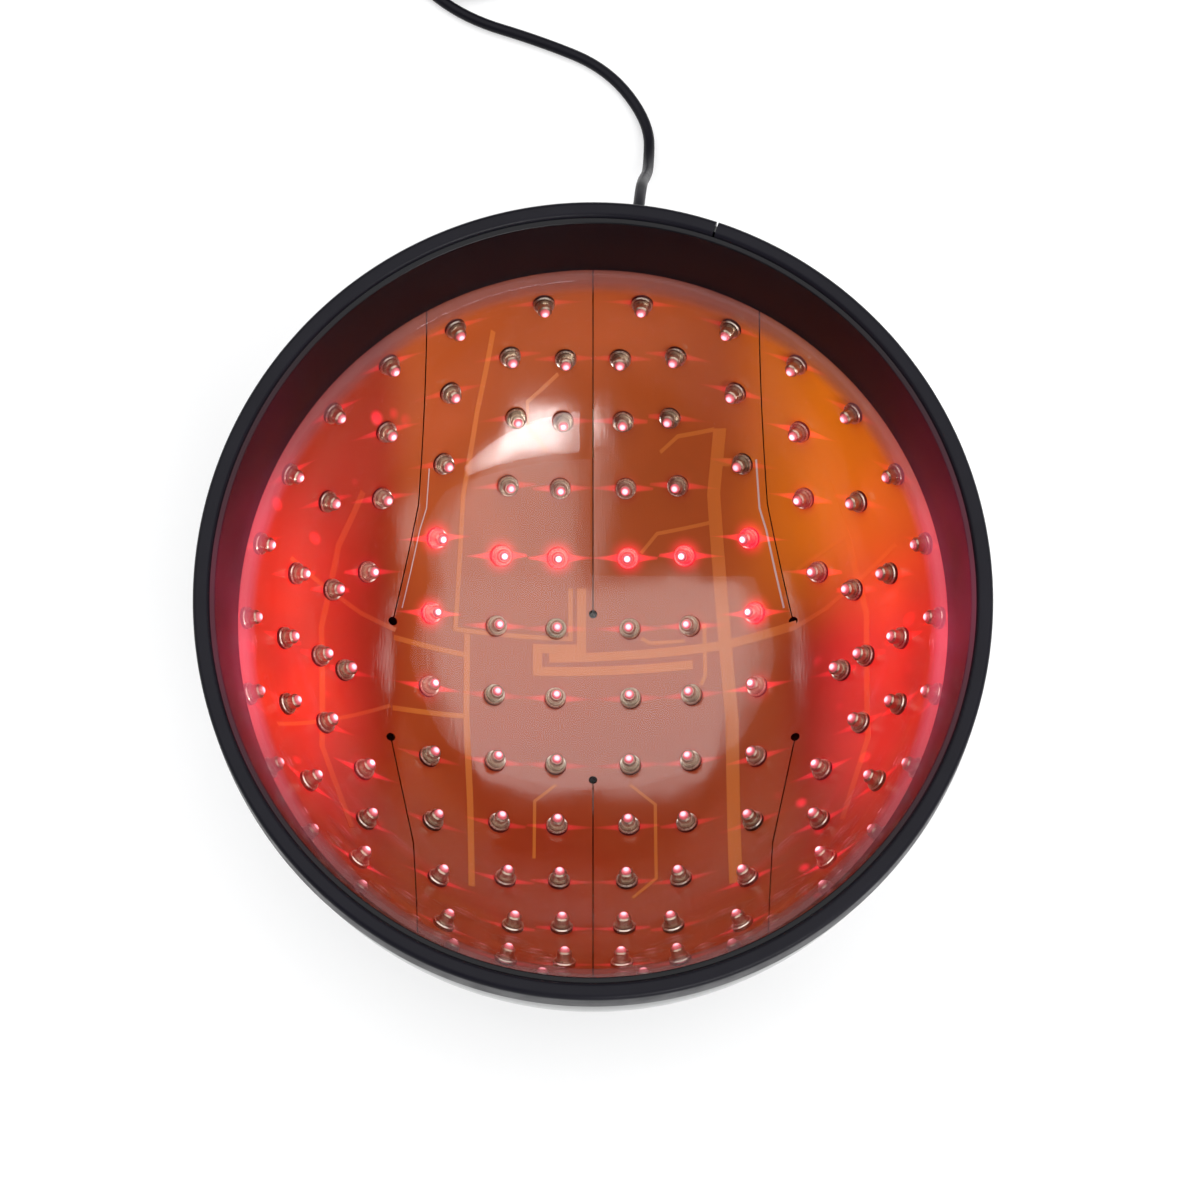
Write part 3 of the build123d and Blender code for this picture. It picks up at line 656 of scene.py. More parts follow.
class CapShell(bpy.types.Operator):
    """Makes the glossy outer dome"""

    bl_idname = "object.cap_shell"
    bl_label = "Outer Shell"

    half_width: FloatProperty(
        name="Half Width", description="Half of the shell's width", default=94.0 * MM, unit="LENGTH")
    wall: FloatProperty(name="Wall", description="Thickness of the shell", default=1.6 * MM, unit="LENGTH")

    def execute(self, context):
        colours = context.scene.cap_colours
        black = moulded("shell_gloss_black", colours.black, 0.09, 900.0, 0.00002, smudge=0.03, shine=0.6)
        # the dome's own crown lies just below the flat that it stands on
        top, shoulder, crown = depth_z(1.1), depth_z(10.0), -1.0 * MM
        semi = shoulder - crown
        flat_angle = degrees(asin(shoulder / semi))
        outer = arc((0, shoulder), self.half_width, semi, 0, -flat_angle, 60)
        inner = arc((0, shoulder), self.half_width - self.wall, semi - self.wall, -90, 0, 60)
        rim_round = 0.3 * MM
        profile = [(self.half_width, top - rim_round)] + outer + [(0, 0)] + inner
        profile += [(self.half_width - self.wall, top), (self.half_width - rim_round, top)]
        shell = lathe("outer_shell_dome", profile, black, 320, OVAL)
        place_piece(shell, "shell", "outer_shell")
        return {"FINISHED"}


class CapRim(bpy.types.Operator):
    """Makes the edge trim and the funnel-shaped bezel inside it"""

    bl_idname = "object.cap_rim"
    bl_label = "Rim Trim and Bezel"

    trim_width: FloatProperty(
        name="Trim Width", description="Width of the edge trim", default=3.9 * MM, unit="LENGTH")
    joint_gap: FloatProperty(
        name="Joint Gap", description="Gap at the trim's butt joint", default=0.5 * MM, unit="LENGTH")

    def execute(self, context):
        colours = context.scene.cap_colours
        trim_black = moulded("trim_satin_black", scaled(colours.black, 1.5), 0.34, 2200.0, 0.00003, shine=0.10)
        bezel_black = bezel_shader("bezel_satin_black", scaled(colours.black, 0.8), colours.laser)
        self.trim(trim_black)
        self.bezel(bezel_black)
        return {"FINISHED"}

    def trim(self, material):
        outer, top, leg = RIM_HALF_WIDTH, RIM_Z, 8.0 * MM
        inner = outer - self.trim_width
        soft = 1.3 * MM
        lip = 0.35 * MM
        profile = arc((outer - soft, top - soft), soft, soft, 0, 90, 8)
        profile += arc((inner + soft, top - soft), soft, soft, 90, 180, 8)
        profile += [(inner, top - leg + lip), (inner + lip, top - leg)]
        groove_in, groove_out, groove_top = 92.35 * MM, 94.05 * MM, depth_z(1.05)
        profile += [(groove_in, top - leg), (groove_in, groove_top), (groove_out, groove_top)]
        profile += [(groove_out, top - leg), (outer - lip, top - leg), (outer, top - leg + lip)]
        trim = lathe("edge_trim", profile, material, 360, OVAL)
        blade = bpy.data.objects.new("joint_blade", box_mesh(20 * MM, self.joint_gap, 40 * MM))
        joint_angle = radians(72)
        blade.matrix_world = Matrix.Rotation(joint_angle, 4, "Z") @ Matrix.Translation((outer, 0, top))
        cut(trim, [blade])
        place_piece(trim, "trim", "rim_trim")

    def bezel(self, material):
        round_edge, lip_round = 0.5 * MM, 0.25 * MM
        # radius and depth of the funnel's corners, down its outside and back to its lower lip
        outline = [(91.0, 1.2), (91.0, 7.0), (87.3, 20.1), (89.9, 20.1), (89.9, 21.4), (86.3, 21.4)]
        profile = [(radius * MM, depth_z(depth)) for radius, depth in outline]
        profile += arc((86.25 * MM, depth_z(21.15)), lip_round, lip_round, 250, 165, 4)
        edge = (89.7 * MM + round_edge, depth_z(1.2) - round_edge)
        profile += arc(edge, round_edge, round_edge, 170, 90, 5)
        bezel = lathe("bezel_funnel", profile, material, 320, OVAL)
        place_piece(bezel, "bezel", "inner_bezel")


def box_mesh(length, width, height):
    """A box mesh about the origin, used only as a cutter."""
    mesh = bpy.data.meshes.new("cutter")
    work = bmesh.new()
    bmesh.ops.create_cube(work, size=1.0, matrix=Matrix.Diagonal((length, width, height, 1)))
    work.to_mesh(mesh)
    work.free()
    return mesh


def drill_mesh(radius, height):
    """A round cutter about the origin."""
    mesh = bpy.data.meshes.new("cutter")
    work = bmesh.new()
    bmesh.ops.create_cone(work, cap_ends=True, segments=24, radius1=radius, radius2=radius, depth=height)
    work.to_mesh(mesh)
    work.free()
    return mesh


def cut(piece, cutters):
    """Cuts the cutters out of a piece, and keeps the result as its mesh."""
    together = bpy.data.collections.new("cutters")
    bpy.context.scene.collection.children.link(together)
    for cutter in cutters:
        together.objects.link(cutter)
    modifier = piece.modifiers.new("cut", "BOOLEAN")
    modifier.operand_type = "COLLECTION"
    modifier.collection = together
    modifier.solver = "EXACT"
    bpy.context.view_layer.update()
    evaluated = piece.evaluated_get(bpy.context.evaluated_depsgraph_get())
    result = bpy.data.meshes.new_from_object(evaluated)
    piece.modifiers.clear()
    if len(result.polygons) == 0:
        raise RuntimeError(f"cutting {piece.name} left nothing")
    old = piece.data
    piece.data = result
    bpy.data.meshes.remove(old)
    for cutter in cutters:
        bpy.data.objects.remove(cutter)
    bpy.data.collections.remove(together)
    result.shade_smooth()
    result.set_sharp_from_angle(angle=radians(35))


class CapFilm(bpy.types.Operator):
    """Makes the folded amber film with its slits and relief holes"""

    bl_idname = "object.cap_film"
    bl_label = "Circuit Film"

    segments: IntProperty(name="Segments", description="Faces round the film", default=288, min=32)
    rings: IntProperty(name="Rings", description="Faces from the crown to the edge", default=72, min=16)
    slit_width: FloatProperty(
        name="Slit Width", description="Width of the cuts", default=0.3 * MM, unit="LENGTH")
    hole_radius: FloatProperty(
        name="Hole Radius", description="Radius of the relief holes", default=1.1 * MM, unit="LENGTH")

    def execute(self, context):
        colours = context.scene.cap_colours
        material = film_shader(
            "amber_film", colours.film, colours.film_front,
            colours.film_bright, colours.laser, (1.0, 0.016, 0.006), 0.075)
        film = self.sheet(material)
        cut(film, self.cutters())
        mark_beams(film)
        place_piece(film, "flex_film", "flex_circuit")
        return {"FINISHED"}

    def sheet(self, material):
        """The film as a closed thin dome, before it is slit."""
        vertices, faces = [], []
        steepest = np.arccos(FILM_EDGE_DEPTH / FILM_DEPTH)
        for offset in (0.0, -FILM_THICKNESS * MM):
            vertices.append(film_point(0, 0, offset)[0])
            for ring in range(1, self.rings + 1):
                spread = sin(steepest * ring / self.rings)
                for step in range(self.segments):
                    angle = 2 * pi * step / self.segments
                    vertices.append(film_point(spread * cos(angle), spread * sin(angle), offset)[0])
        layer = 1 + self.rings * self.segments
        for start, turn in ((0, 1), (layer, -1)):
            for step in range(self.segments):
                after = (step + 1) % self.segments
                faces.append((start, start + 1 + step, start + 1 + after)[::turn])
                for ring in range(self.rings - 1):
                    low = start + 1 + ring * self.segments
                    high = low + self.segments
                    faces.append((low + step, high + step, high + after, low + after)[::turn])
        edge = 1 + (self.rings - 1) * self.segments
        for step in range(self.segments):
            after = (step + 1) % self.segments
            faces.append((edge + step, layer + edge + step, layer + edge + after, edge + after))
        return mesh_piece("circuit_film", vertices, faces, material)

    def cutters(self):
        """Blades for the slits and drills for the holes at their ends."""
        cutters = []
        tall, past_edge = 0.3, 105.0
        for end in (1, -1):
            cutters.append(self.drill(0, end * CROWN_HOLE_Y, tall))
            cutters.append(self.blade((0, end * CROWN_HOLE_Y), (0, end * past_edge), tall))
            for side in (1, -1):
                neck = (side * NECK_HOLE[0], end * NECK_HOLE[1])
                bend = (side * SEAM_BEND[0], end * SEAM_BEND[1])
                outer = (side * SEAM_END[0], end * SEAM_END[1])
                cutters.append(self.drill(*neck, tall))
                cutters += [self.blade(neck, bend, tall), self.blade(bend, outer, tall)]
        return cutters

    def drill(self, x, y, tall):
        drill = bpy.data.objects.new("drill", drill_mesh(self.hole_radius, tall))
        drill.location = (x * MM, y * MM, 0)
        return drill

    def blade(self, start, end, tall):
        length = hypot(end[0] - start[0], end[1] - start[1]) * MM
        blade = bpy.data.objects.new("blade", box_mesh(length, self.slit_width, tall))
        blade.location = ((start[0] + end[0]) / 2 * MM, (start[1] + end[1]) / 2 * MM, 0)
        blade.rotation_euler.z = atan2(end[1] - start[1], end[0] - start[0])
        return blade


class CapTracks(bpy.types.Operator):
    """Lays the copper tracks on the film"""

    bl_idname = "object.cap_tracks"
    bl_label = "Copper Tracks"

    height: FloatProperty(
        name="Height", description="How far a track stands off the film", default=0.07 * MM, unit="LENGTH")
    step: FloatProperty(name="Step", description="Longest piece of a track", default=2.0 * MM, unit="LENGTH")

    def execute(self, context):
        colours = context.scene.cap_colours
        material = film_shader(
            "copper_under_lacquer", colours.copper, scaled(colours.copper, 0.75),
            colours.film_bright, colours.laser, (1.0, 0.07, 0.012), 0.12)
        vertices, faces = [], []
        for width, corners in TRACKS:
            self.ribbon(corners, width, vertices, faces)
        tracks = mesh_piece("copper_tracks", vertices, faces, material, 50.0)
        mark_beams(tracks)
        place_piece(tracks, "flex_film")
        # Painted highlight: pale glossy strips along the back seams, standing in for the film's edges catching
        # the light.
        pale = (0.66, 0.57, 0.54)
        material = film_shader("painted_seam_highlight", pale, pale, pale, colours.laser, (1.0, 0.3, 0.25), 0.2)
        vertices, faces = [], []
        for width, corners in SEAM_HIGHLIGHTS:
            self.ribbon(corners, width, vertices, faces)
        edges = mesh_piece("seam_highlight_strips", vertices, faces, material, 50.0)
        mark_beams(edges)
        place_piece(edges, "flex_film")
        return {"FINISHED"}

    def ribbon(self, corners, width, vertices, faces):
        """One flat track that follows the film's folds, as a closed strip."""
        sunk = 0.1 * MM
        points = [Vector(corners[0])]
        for start, end in zip(corners, corners[1:]):
            run = Vector(end) - Vector(start)
            count = max(1, round(run.length * MM / self.step))
            points += [Vector(start) + run * (index / count) for index in range(1, count + 1)]
        first = len(vertices)
        for index, point in enumerate(points):
            before = points[max(index - 1, 0)]
            after = points[min(index + 1, len(points) - 1)]
            arriving, leaving = (point - before), (after - point)
            arriving = arriving.normalized() if arriving.length else leaving.normalized()
            leaving = leaving.normalized() if leaving.length else arriving
            heading = (arriving + leaving).normalized()
            across = Vector((-heading.y, heading.x)) * (width / 2 / max(heading.dot(arriving), 0.5))
            for side in (1, -1):
                edge = point + across * side
                for offset in (self.height, -sunk):
                    vertices.append(film_at(edge.x, edge.y, offset)[0])
        for index in range(len(points) - 1):
            a = first + 4 * index
            b = a + 4
            faces += [(a, b, b + 2, a + 2), (a + 1, a + 3, b + 3, b + 1),
                      (a, a + 1, b + 1, b), (a + 2, b + 2, b + 3, a + 3)]
        last = first + 4 * (len(points) - 1)
        faces += [(first, first + 2, first + 3, first + 1), (last, last + 1, last + 3, last + 2)]


class CapDiodes(bpy.types.Operator):
    """Sets a laser diode on every seat, with Geometry Nodes"""

    bl_idname = "object.cap_diodes"
    bl_label = "Laser Diodes"

    def execute(self, context):
        sizes, colours = context.scene.cap_sizes, context.scene.cap_colours
        ring = plated("flange_nickel", (0.80, 0.76, 0.66), 0.26, colours.laser)
        seat = plated("header_tarnish", (0.055, 0.04, 0.03), 0.42, colours.laser)
        can = plated("can_nickel", (0.44, 0.38, 0.30), 0.30, colours.laser)
        lens = lens_shader("lit_lens", colours.laser)
        kinds = {
            "header": (self.header_tree, (seat, ring)),
            "can": (self.can_tree, (can,)),
            "lens": (self.lens_tree, (lens,)),
        }
        slots = {"header": "diode_metal", "can": "diode_metal", "lens": "diode_lens"}
        for kind, (build, materials) in kinds.items():
            tree = diode_tree(f"diode_{kind}s", build, materials)
            settings = {
                "Radius": getattr(sizes, f"{kind}_radius"),
                "Height": getattr(sizes, f"{kind}_height"),
                "Base": self.base_of(kind, sizes),
            }
            piece = grown(f"diode_{kind}s", seat_mesh(), tree, settings)
            nodes = [f"diode_{kind}_{petal}" for petal in PETALS]
            place_piece(piece, slots[kind], *nodes)
        return {"FINISHED"}

    def base_of(self, kind, sizes):
        """How far above its seat each kind of piece starts."""
        lift = 0.08 * MM
        bases = {
            "header": lift,
            "can": lift + sizes.header_height,
            "lens": lift + sizes.header_height + sizes.can_height,
        }
        return bases[kind]

    def header_tree(self, tree, size):
        """Dull disc with a bright rolled ring round its top edge."""
        radius, height = size["Radius"], size["Height"]
        roll = 0.30 * MM
        level = maths(tree, "SUBTRACT", height, roll)
        body = cone(tree, DIODE_SIDES, radius, maths(tree, "SUBTRACT", radius, 0.05 * MM), level, 0.0)
        circle = add(tree, "GeometryNodeCurvePrimitiveCircle", {
            "Resolution": DIODE_SIDES, "Radius": maths(tree, "SUBTRACT", radius, roll)}).outputs[0]
        section = add(tree, "GeometryNodeCurvePrimitiveCircle", {"Resolution": 5, "Radius": roll}).outputs[0]
        ring = add(tree, "GeometryNodeCurveToMesh", {"Curve": circle, "Profile Curve": section}).outputs[0]
        lift = add(tree, "ShaderNodeCombineXYZ", {2: level}).outputs[0]
        ring = add(tree, "GeometryNodeTransform", {"Geometry": ring, "Translation": lift}).outputs[0]
        bright = add(tree, "GeometryNodeStoreNamedAttribute", {
            "Geometry": ring, "Name": "bright", "Value": 1.0}, data_type="FLOAT", domain="FACE").outputs[0]
        return [body, bright]

    def can_tree(self, tree, size):
        """Drawn can: welded flare, upright wall and a rolled top."""
        radius, height = size["Radius"], size["Height"]
        flare, roll = 0.3 * MM, 0.35 * MM
        level = maths(tree, "SUBTRACT", height, roll)
        foot = cone(tree, DIODE_SIDES, times(tree, radius, 1.22), times(tree, radius, 1.15), flare, 0.0)
        wall = cone(tree, DIODE_SIDES, radius, radius, level, 0.0)
        top = cone(tree, DIODE_SIDES, radius, maths(tree, "SUBTRACT", radius, roll), roll, level)
        return [foot, wall, top]

    def lens_tree(self, tree, size):
        """Half ball squashed to the lens's height, hotter towards its tip."""
        radius, height = size["Radius"], size["Height"]
        ball = add(tree, "GeometryNodeMeshUVSphere", {"Segments": 14, "Rings": 6, "Radius": 1.0}).outputs[0]
        position = tree.nodes.new("GeometryNodeInputPosition").outputs[0]
        tip = add(tree, "ShaderNodeSeparateXYZ", {0: position}).outputs[2]
        stored = add(tree, "GeometryNodeStoreNamedAttribute", {
            "Geometry": ball, "Name": "core", "Value": tip}, data_type="FLOAT", domain="POINT").outputs[0]
        scale = add(tree, "ShaderNodeCombineXYZ", {0: radius, 1: radius, 2: height}).outputs[0]
        return [add(tree, "GeometryNodeTransform", {"Geometry": stored, "Scale": scale}).outputs[0]]


def cone(tree, sides, bottom, top, height, start):
    """A closed cone or cylinder that starts at this height."""
    inputs = {"Vertices": sides, "Radius Top": top, "Radius Bottom": bottom, "Depth": height}
    shape = add(tree, "GeometryNodeMeshCone", inputs).outputs[0]
    lift = add(tree, "ShaderNodeCombineXYZ", {2: start}).outputs[0]
    return add(tree, "GeometryNodeTransform", {"Geometry": shape, "Translation": lift}).outputs[0]


def diode_tree(name, build, materials):
    """Tree that sets one shape on every seat, facing into the bowl. Faces marked bright get a second finish."""
    tree = bpy.data.node_groups.new(name, "GeometryNodeTree")
    tree.interface.new_socket("Geometry", in_out="INPUT", socket_type="NodeSocketGeometry")
    for size in ("Radius", "Height", "Base"):
        socket = tree.interface.new_socket(size, in_out="INPUT", socket_type="NodeSocketFloat")
        socket.subtype = "DISTANCE"
    tree.interface.new_socket("Geometry", in_out="OUTPUT", socket_type="NodeSocketGeometry")
    entry = tree.nodes.new("NodeGroupInput")
    size = {key: entry.outputs[key] for key in ("Radius", "Height")}
    join = tree.nodes.new("GeometryNodeJoinGeometry")
    for part in build(tree, size):
        tree.links.new(part, join.inputs[0])
    lift = add(tree, "ShaderNodeCombineXYZ", {2: entry.outputs["Base"]}).outputs[0]
    shape = add(tree, "GeometryNodeTransform", {"Geometry": join.outputs[0], "Translation": lift}).outputs[0]
    facing = add(tree, "GeometryNodeInputNamedAttribute", {"Name": "facing"},
                 data_type="FLOAT_VECTOR").outputs[0]
    turn = add(tree, "FunctionNodeAlignRotationToVector", {"Vector": facing}, axis="Z").outputs[0]
    instances = add(tree, "GeometryNodeInstanceOnPoints", {
        "Points": entry.outputs["Geometry"], "Instance": shape, "Rotation": turn}).outputs[0]
    result = add(tree, "GeometryNodeRealizeInstances", {"Geometry": instances}).outputs[0]
    result = add(tree, "GeometryNodeSetMaterial", {"Geometry": result, "Material": materials[0]}).outputs[0]
    for material in materials[1:]:
        bright = add(tree, "GeometryNodeInputNamedAttribute", {"Name": "bright"}, data_type="FLOAT").outputs[0]
        result = add(tree, "GeometryNodeSetMaterial", {
            "Geometry": result, "Selection": bright, "Material": material}).outputs[0]
    add(tree, "NodeGroupOutput", {0: result})
    return tree


def seat_mesh():
    """A point for each diode, with its facing and its power."""
    seats = diode_seats()
    mesh = bpy.data.meshes.new("seats")
    mesh.from_pydata([tuple(film_point(a, b)[0]) for a, b, _ in seats], [], [])
    directions = [part for a, b, _ in seats for part in film_facing(a, b)]
    mesh.attributes.new("facing", "FLOAT_VECTOR", "POINT")
    mesh.attributes["facing"].data.foreach_set("vector", directions)
    mesh.attributes.new("power", "FLOAT", "POINT")
    mesh.attributes["power"].data.foreach_set("value", [strength for _, _, strength in seats])
    return mesh


def grown(name, start_mesh, tree, settings):
    """Runs a Geometry Nodes tree once and keeps its result as a plain mesh piece."""
    seed = bpy.data.objects.new(name + "_seed", start_mesh)
    bpy.context.scene.collection.objects.link(seed)
    modifier = seed.modifiers.new("grow", "NODES")
    modifier.node_group = tree
    for item in tree.interface.items_tree:
        if item.item_type == "SOCKET" and item.in_out == "INPUT" and item.name in settings:
            modifier[item.identifier] = settings[item.name]
    seed.update_tag()
    bpy.context.view_layer.update()
    evaluated = seed.evaluated_get(bpy.context.evaluated_depsgraph_get())
    mesh = bpy.data.meshes.new_from_object(evaluated)
    bpy.data.objects.remove(seed)
    if len(mesh.polygons) == 0:
        raise RuntimeError(f"the tree of {name} made no faces")
    mesh.shade_smooth()
    mesh.set_sharp_from_angle(angle=radians(40))
    piece = bpy.data.objects.new(name, mesh)
    bpy.context.scene.collection.objects.link(piece)
    return piece


class CapLiner(bpy.types.Operator):
    """Makes the clear inner dome with its rounded shoulder"""

    bl_idname = "object.cap_liner"
    bl_label = "Clear Liner"

    half_width: FloatProperty(
        name="Half Width", description="Half of the liner's width", default=87.6 * MM, unit="LENGTH")
    depth: FloatProperty(name="Depth", description="Depth of the liner", default=87.2 * MM, unit="LENGTH")
    wall: FloatProperty(name="Wall", description="Thickness of the liner", default=1.0 * MM, unit="LENGTH")

    def execute(self, context):
        flange_top, flange_bottom, wall_top = 21.6, 22.8, 24.6
        start = -degrees(asin(flange_bottom * MM / self.depth))
        outer = arc((0, RIM_Z), self.half_width, self.depth, start, -90, 90)
        inner_start = -degrees(asin(wall_top * MM / (self.depth - self.wall)))
        inner = arc((0, RIM_Z), self.half_width - self.wall, self.depth - self.wall, -90, inner_start, 90)
        flange_edge = 88.6 * MM
        shoulder = arc((85.6 * MM, depth_z(23.6)), 2.4 * MM, 2.0 * MM, 190, 90, 8)
        profile = [(flange_edge, depth_z(flange_top)), (flange_edge, depth_z(flange_bottom))]
        profile += outer + inner + shoulder
        liner = lathe("clear_liner_dome", profile, liner_shader("clear_plastic"), 256, OVAL)
        place_piece(liner, "clear_liner", "clear_liner")
        return {"FINISHED"}


def boot_matrix(tip, towards):
    """Frame with its origin at a boot's tip and Z pointing back along the boot, into what holds it."""
    direction = (Vector(tip) - Vector(towards)).normalized()
    return Matrix.Translation(Vector(tip)) @ direction.to_track_quat("Z", "Y").to_matrix().to_4x4()


def ribbed_profile(tip_radius, base_radius, length, ribs):
    """Tapered boot with soft rings, from its tip to its base, closed along the lead."""
    profile = [(LEAD_RADIUS, 0.0), (tip_radius * 0.92, 0.0)]
    for index in range(ribs):
        start = length * (0.06 + 0.72 * index / ribs)
        end = start + length * 0.72 / ribs
        middle = (start + end) / 2
        radius = tip_radius + (base_radius - tip_radius) * middle / length
        groove = radius - 0.35 * MM
        profile += [(groove, start), (radius, start + (end - start) * 0.25),
                    (radius, start + (end - start) * 0.7), (groove, start + (end - start) * 0.95)]
    profile += [(base_radius, length * 0.82), (base_radius, length), (LEAD_RADIUS, length)]
    return profile


class CapLead(bpy.types.Operator):
    """Makes the lead, its coil and tie, and the strain reliefs at its two ends"""

    bl_idname = "object.cap_lead"
    bl_label = "Lead and Plug"

    relief_length: FloatProperty(
        name="Relief Length", description="Length of the boot on the shell", default=13.65 * MM, unit="LENGTH")
    boot_length: FloatProperty(
        name="Boot Length", description="Length of the boot on the plug", default=10.0 * MM, unit="LENGTH")

    def execute(self, context):
        colours, sizes = context.scene.cap_colours, context.scene.cap_sizes
        jacket = moulded("lead_jacket", scaled(colours.black, 1.5), 0.4, 2600.0, 0.00002, shine=0.1)
        soft = moulded("boot_rubber", scaled(colours.black, 1.1), 0.55, 2000.0, 0.00005)
        lead = self.lead(jacket)
        relief = lathe(
            "shell_strain_relief", ribbed_profile(2.1 * MM, 3.4 * MM, self.relief_length, sizes.boot_ribs),
            soft, 40, matrix=boot_matrix(LEAD_ROUTE[0], LEAD_ROUTE[1]))
        place_piece(relief, "soft_black", "cable_strain_relief")
        boot = lathe(
            "plug_strain_relief", ribbed_profile(2.1 * MM, 3.6 * MM, self.boot_length, sizes.boot_ribs),
            soft, 40, matrix=boot_matrix(TAIL_ROUTE[-1], TAIL_ROUTE[-2]))
        place_piece(boot, "soft_black", "plug_boot")
        tie = self.tie(woven("tie_weave", scaled(colours.black, 1.6)))
        self.plug(colours)
        return {"FINISHED"}

    def lead(self, material):
        """One spline: the free run, the turns of the coil, and the tail into the plug."""
        points = list(LEAD_ROUTE) + self.coil_points() + list(TAIL_ROUTE)
        curve = bpy.data.curves.new("lead", "CURVE")
        curve.dimensions = "3D"
        curve.bevel_depth = LEAD_RADIUS
        curve.bevel_resolution = 4
        curve.resolution_u = 8
        curve.use_fill_caps = True
        spline = curve.splines.new("NURBS")
        spline.points.add(len(points) - 1)
        for place, point in zip(spline.points, points):
            place.co = (*point, 1.0)
        spline.order_u = 3
        spline.use_endpoint_u = True
        curve.materials.append(material)
        lead = bpy.data.objects.new("lead", curve)
        bpy.context.scene.collection.objects.link(lead)
        return place_piece(lead, "cable_jacket", "lead_cable", "lead_coil", "lead_tail")

    def coil_points(self):
        """Turns that wind inwards on the floor, climb one thickness, and wind out again."""
        points = []
        start = atan2(LEAD_ROUTE[-1][1] - COIL_CENTRE[1], LEAD_ROUTE[-1][0] - COIL_CENTRE[0])
        pitch = 2 * LEAD_RADIUS
        inward = (COIL_OUTER_TURN - COIL_INNER_TURN) / pitch
        climb = 0.9
        steps = round(COIL_TURNS * COIL_POINTS_PER_TURN)
        for step in range(1, steps + 1):
            turns = COIL_TURNS * step / steps
            angle = start - 2 * pi * turns
            if turns < inward:
                radius, height = COIL_OUTER_TURN - pitch * turns, LEAD_RADIUS
            elif turns < inward + climb:
                part = (turns - inward) / climb
                radius, height = COIL_INNER_TURN, LEAD_RADIUS + 2 * LEAD_RADIUS * part
            else:
                radius = min(COIL_INNER_TURN + pitch * (turns - inward - climb), COIL_OUTER_TURN)
                height = 3 * LEAD_RADIUS
            x, y = COIL_CENTRE[0] + radius * cos(angle), COIL_CENTRE[1] + radius * sin(angle)
            points.append((x, y, height))
        return points

    def tie(self, material):
        """Strap wrapped tightly round the coil."""
        middle = (COIL_OUTER_TURN + COIL_INNER_TURN) / 2
        half_wide = (COIL_OUTER_TURN - COIL_INNER_TURN) / 2 + LEAD_RADIUS + 0.15 * MM
        thick, width = 0.7 * MM, 7.0 * MM
        low, high = 0.75 * MM, 6.05 * MM
        inside = self.rounded(half_wide, low, high, 1.3 * MM)
        outside = self.rounded(half_wide + thick, low - thick, high + thick, 1.9 * MM)
        count = len(inside)
        place_on_coil = radians(200)
        turn = Matrix.Translation((*COIL_CENTRE, 0)) @ Matrix.Rotation(place_on_coil, 4, "Z")
        vertices = []
        for along in (-width / 2, width / 2):
            for ring in (inside, outside):
                vertices += [turn @ Vector((middle + x, along, z)) for x, z in ring]
        faces = []
        for index in range(count):
            after = (index + 1) % count
            faces.append((index, after, count + after, count + index))
            faces.append((2 * count + index, 3 * count + index, 3 * count + after, 2 * count + after))
            faces.append((count + index, count + after, 3 * count + after, 3 * count + index))
            faces.append((index, 2 * count + index, 2 * count + after, after))
        tie = mesh_piece("coil_strap", vertices, faces, material, 50.0)
        return place_piece(tie, "tie", "coil_tie")

    def rounded(self, half_wide, low, high, radius):
        """Rounded rectangle in section, as (sideways, height)."""
        points = []
        corners = ((half_wide - radius, high - radius, 0), (-half_wide + radius, high - radius, 90),
                   (-half_wide + radius, low + radius, 180), (half_wide - radius, low + radius, 270))
        for x, z, start in corners:
            points += arc((x, z), radius, radius, start, start + 90, 5)
        return points

    def plug(self, colours):
        """Finishes of the plug's own pieces, whose CAD shapes stay."""
        finishes = {
            "plug_body": moulded("plug_plastic", scaled(colours.black, 1.2), 0.5, 2400.0, 0.00008),
            "plug_barrel": plated("barrel_nickel", (0.78, 0.76, 0.72), 0.2),
            "plug_insulator": moulded("insulator_plastic", scaled(colours.black, 1.4), 0.45, 2400.0, 0.00003),
            "coupling_ring": plated("ring_nickel", (0.62, 0.62, 0.63), 0.26),
        }
        for node, material in finishes.items():
            dress(node, material)


def dress(node, material):
    """Gives a CAD node its material."""
    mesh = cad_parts[node].data
    mesh.materials.clear()
    mesh.materials.append(material)


class CapInside(bpy.types.Operator):
    """Finishes the pieces between the circuit and the shell"""

    bl_idname = "object.cap_inside"
    bl_label = "Hidden Pieces"

    def execute(self, context):
        black = context.scene.cap_colours.black
        finishes = {
            "bezel_clips": moulded("clip_plastic", black, 0.45, 1500.0, 0.00004),
            "foam_standoffs": moulded("pad_foam", scaled(black, 3.0), 0.92, 1400.0, 0.0004, smudge=0.06),
            "driver_board": moulded("board_lacquer", (0.015, 0.16, 0.06), 0.28, 1600.0, 0.00004),
            "driver_chip": moulded("chip_resin", black, 0.55, 3000.0, 0.00004),
            "board_capacitors": moulded("capacitor_ceramic", (0.42, 0.30, 0.19), 0.5, 3000.0, 0.00004),
            "wire_socket": moulded("socket_plastic", (0.55, 0.53, 0.47), 0.45, 3000.0, 0.00004),
            "power_wire": moulded("red_insulation", (0.5, 0.012, 0.012), 0.35, 3000.0, 0.00002),
            "return_wire": moulded("black_insulation", black, 0.35, 3000.0, 0.00002),
        }
        for node, material in finishes.items():
            dress(node, material)
        return {"FINISHED"}


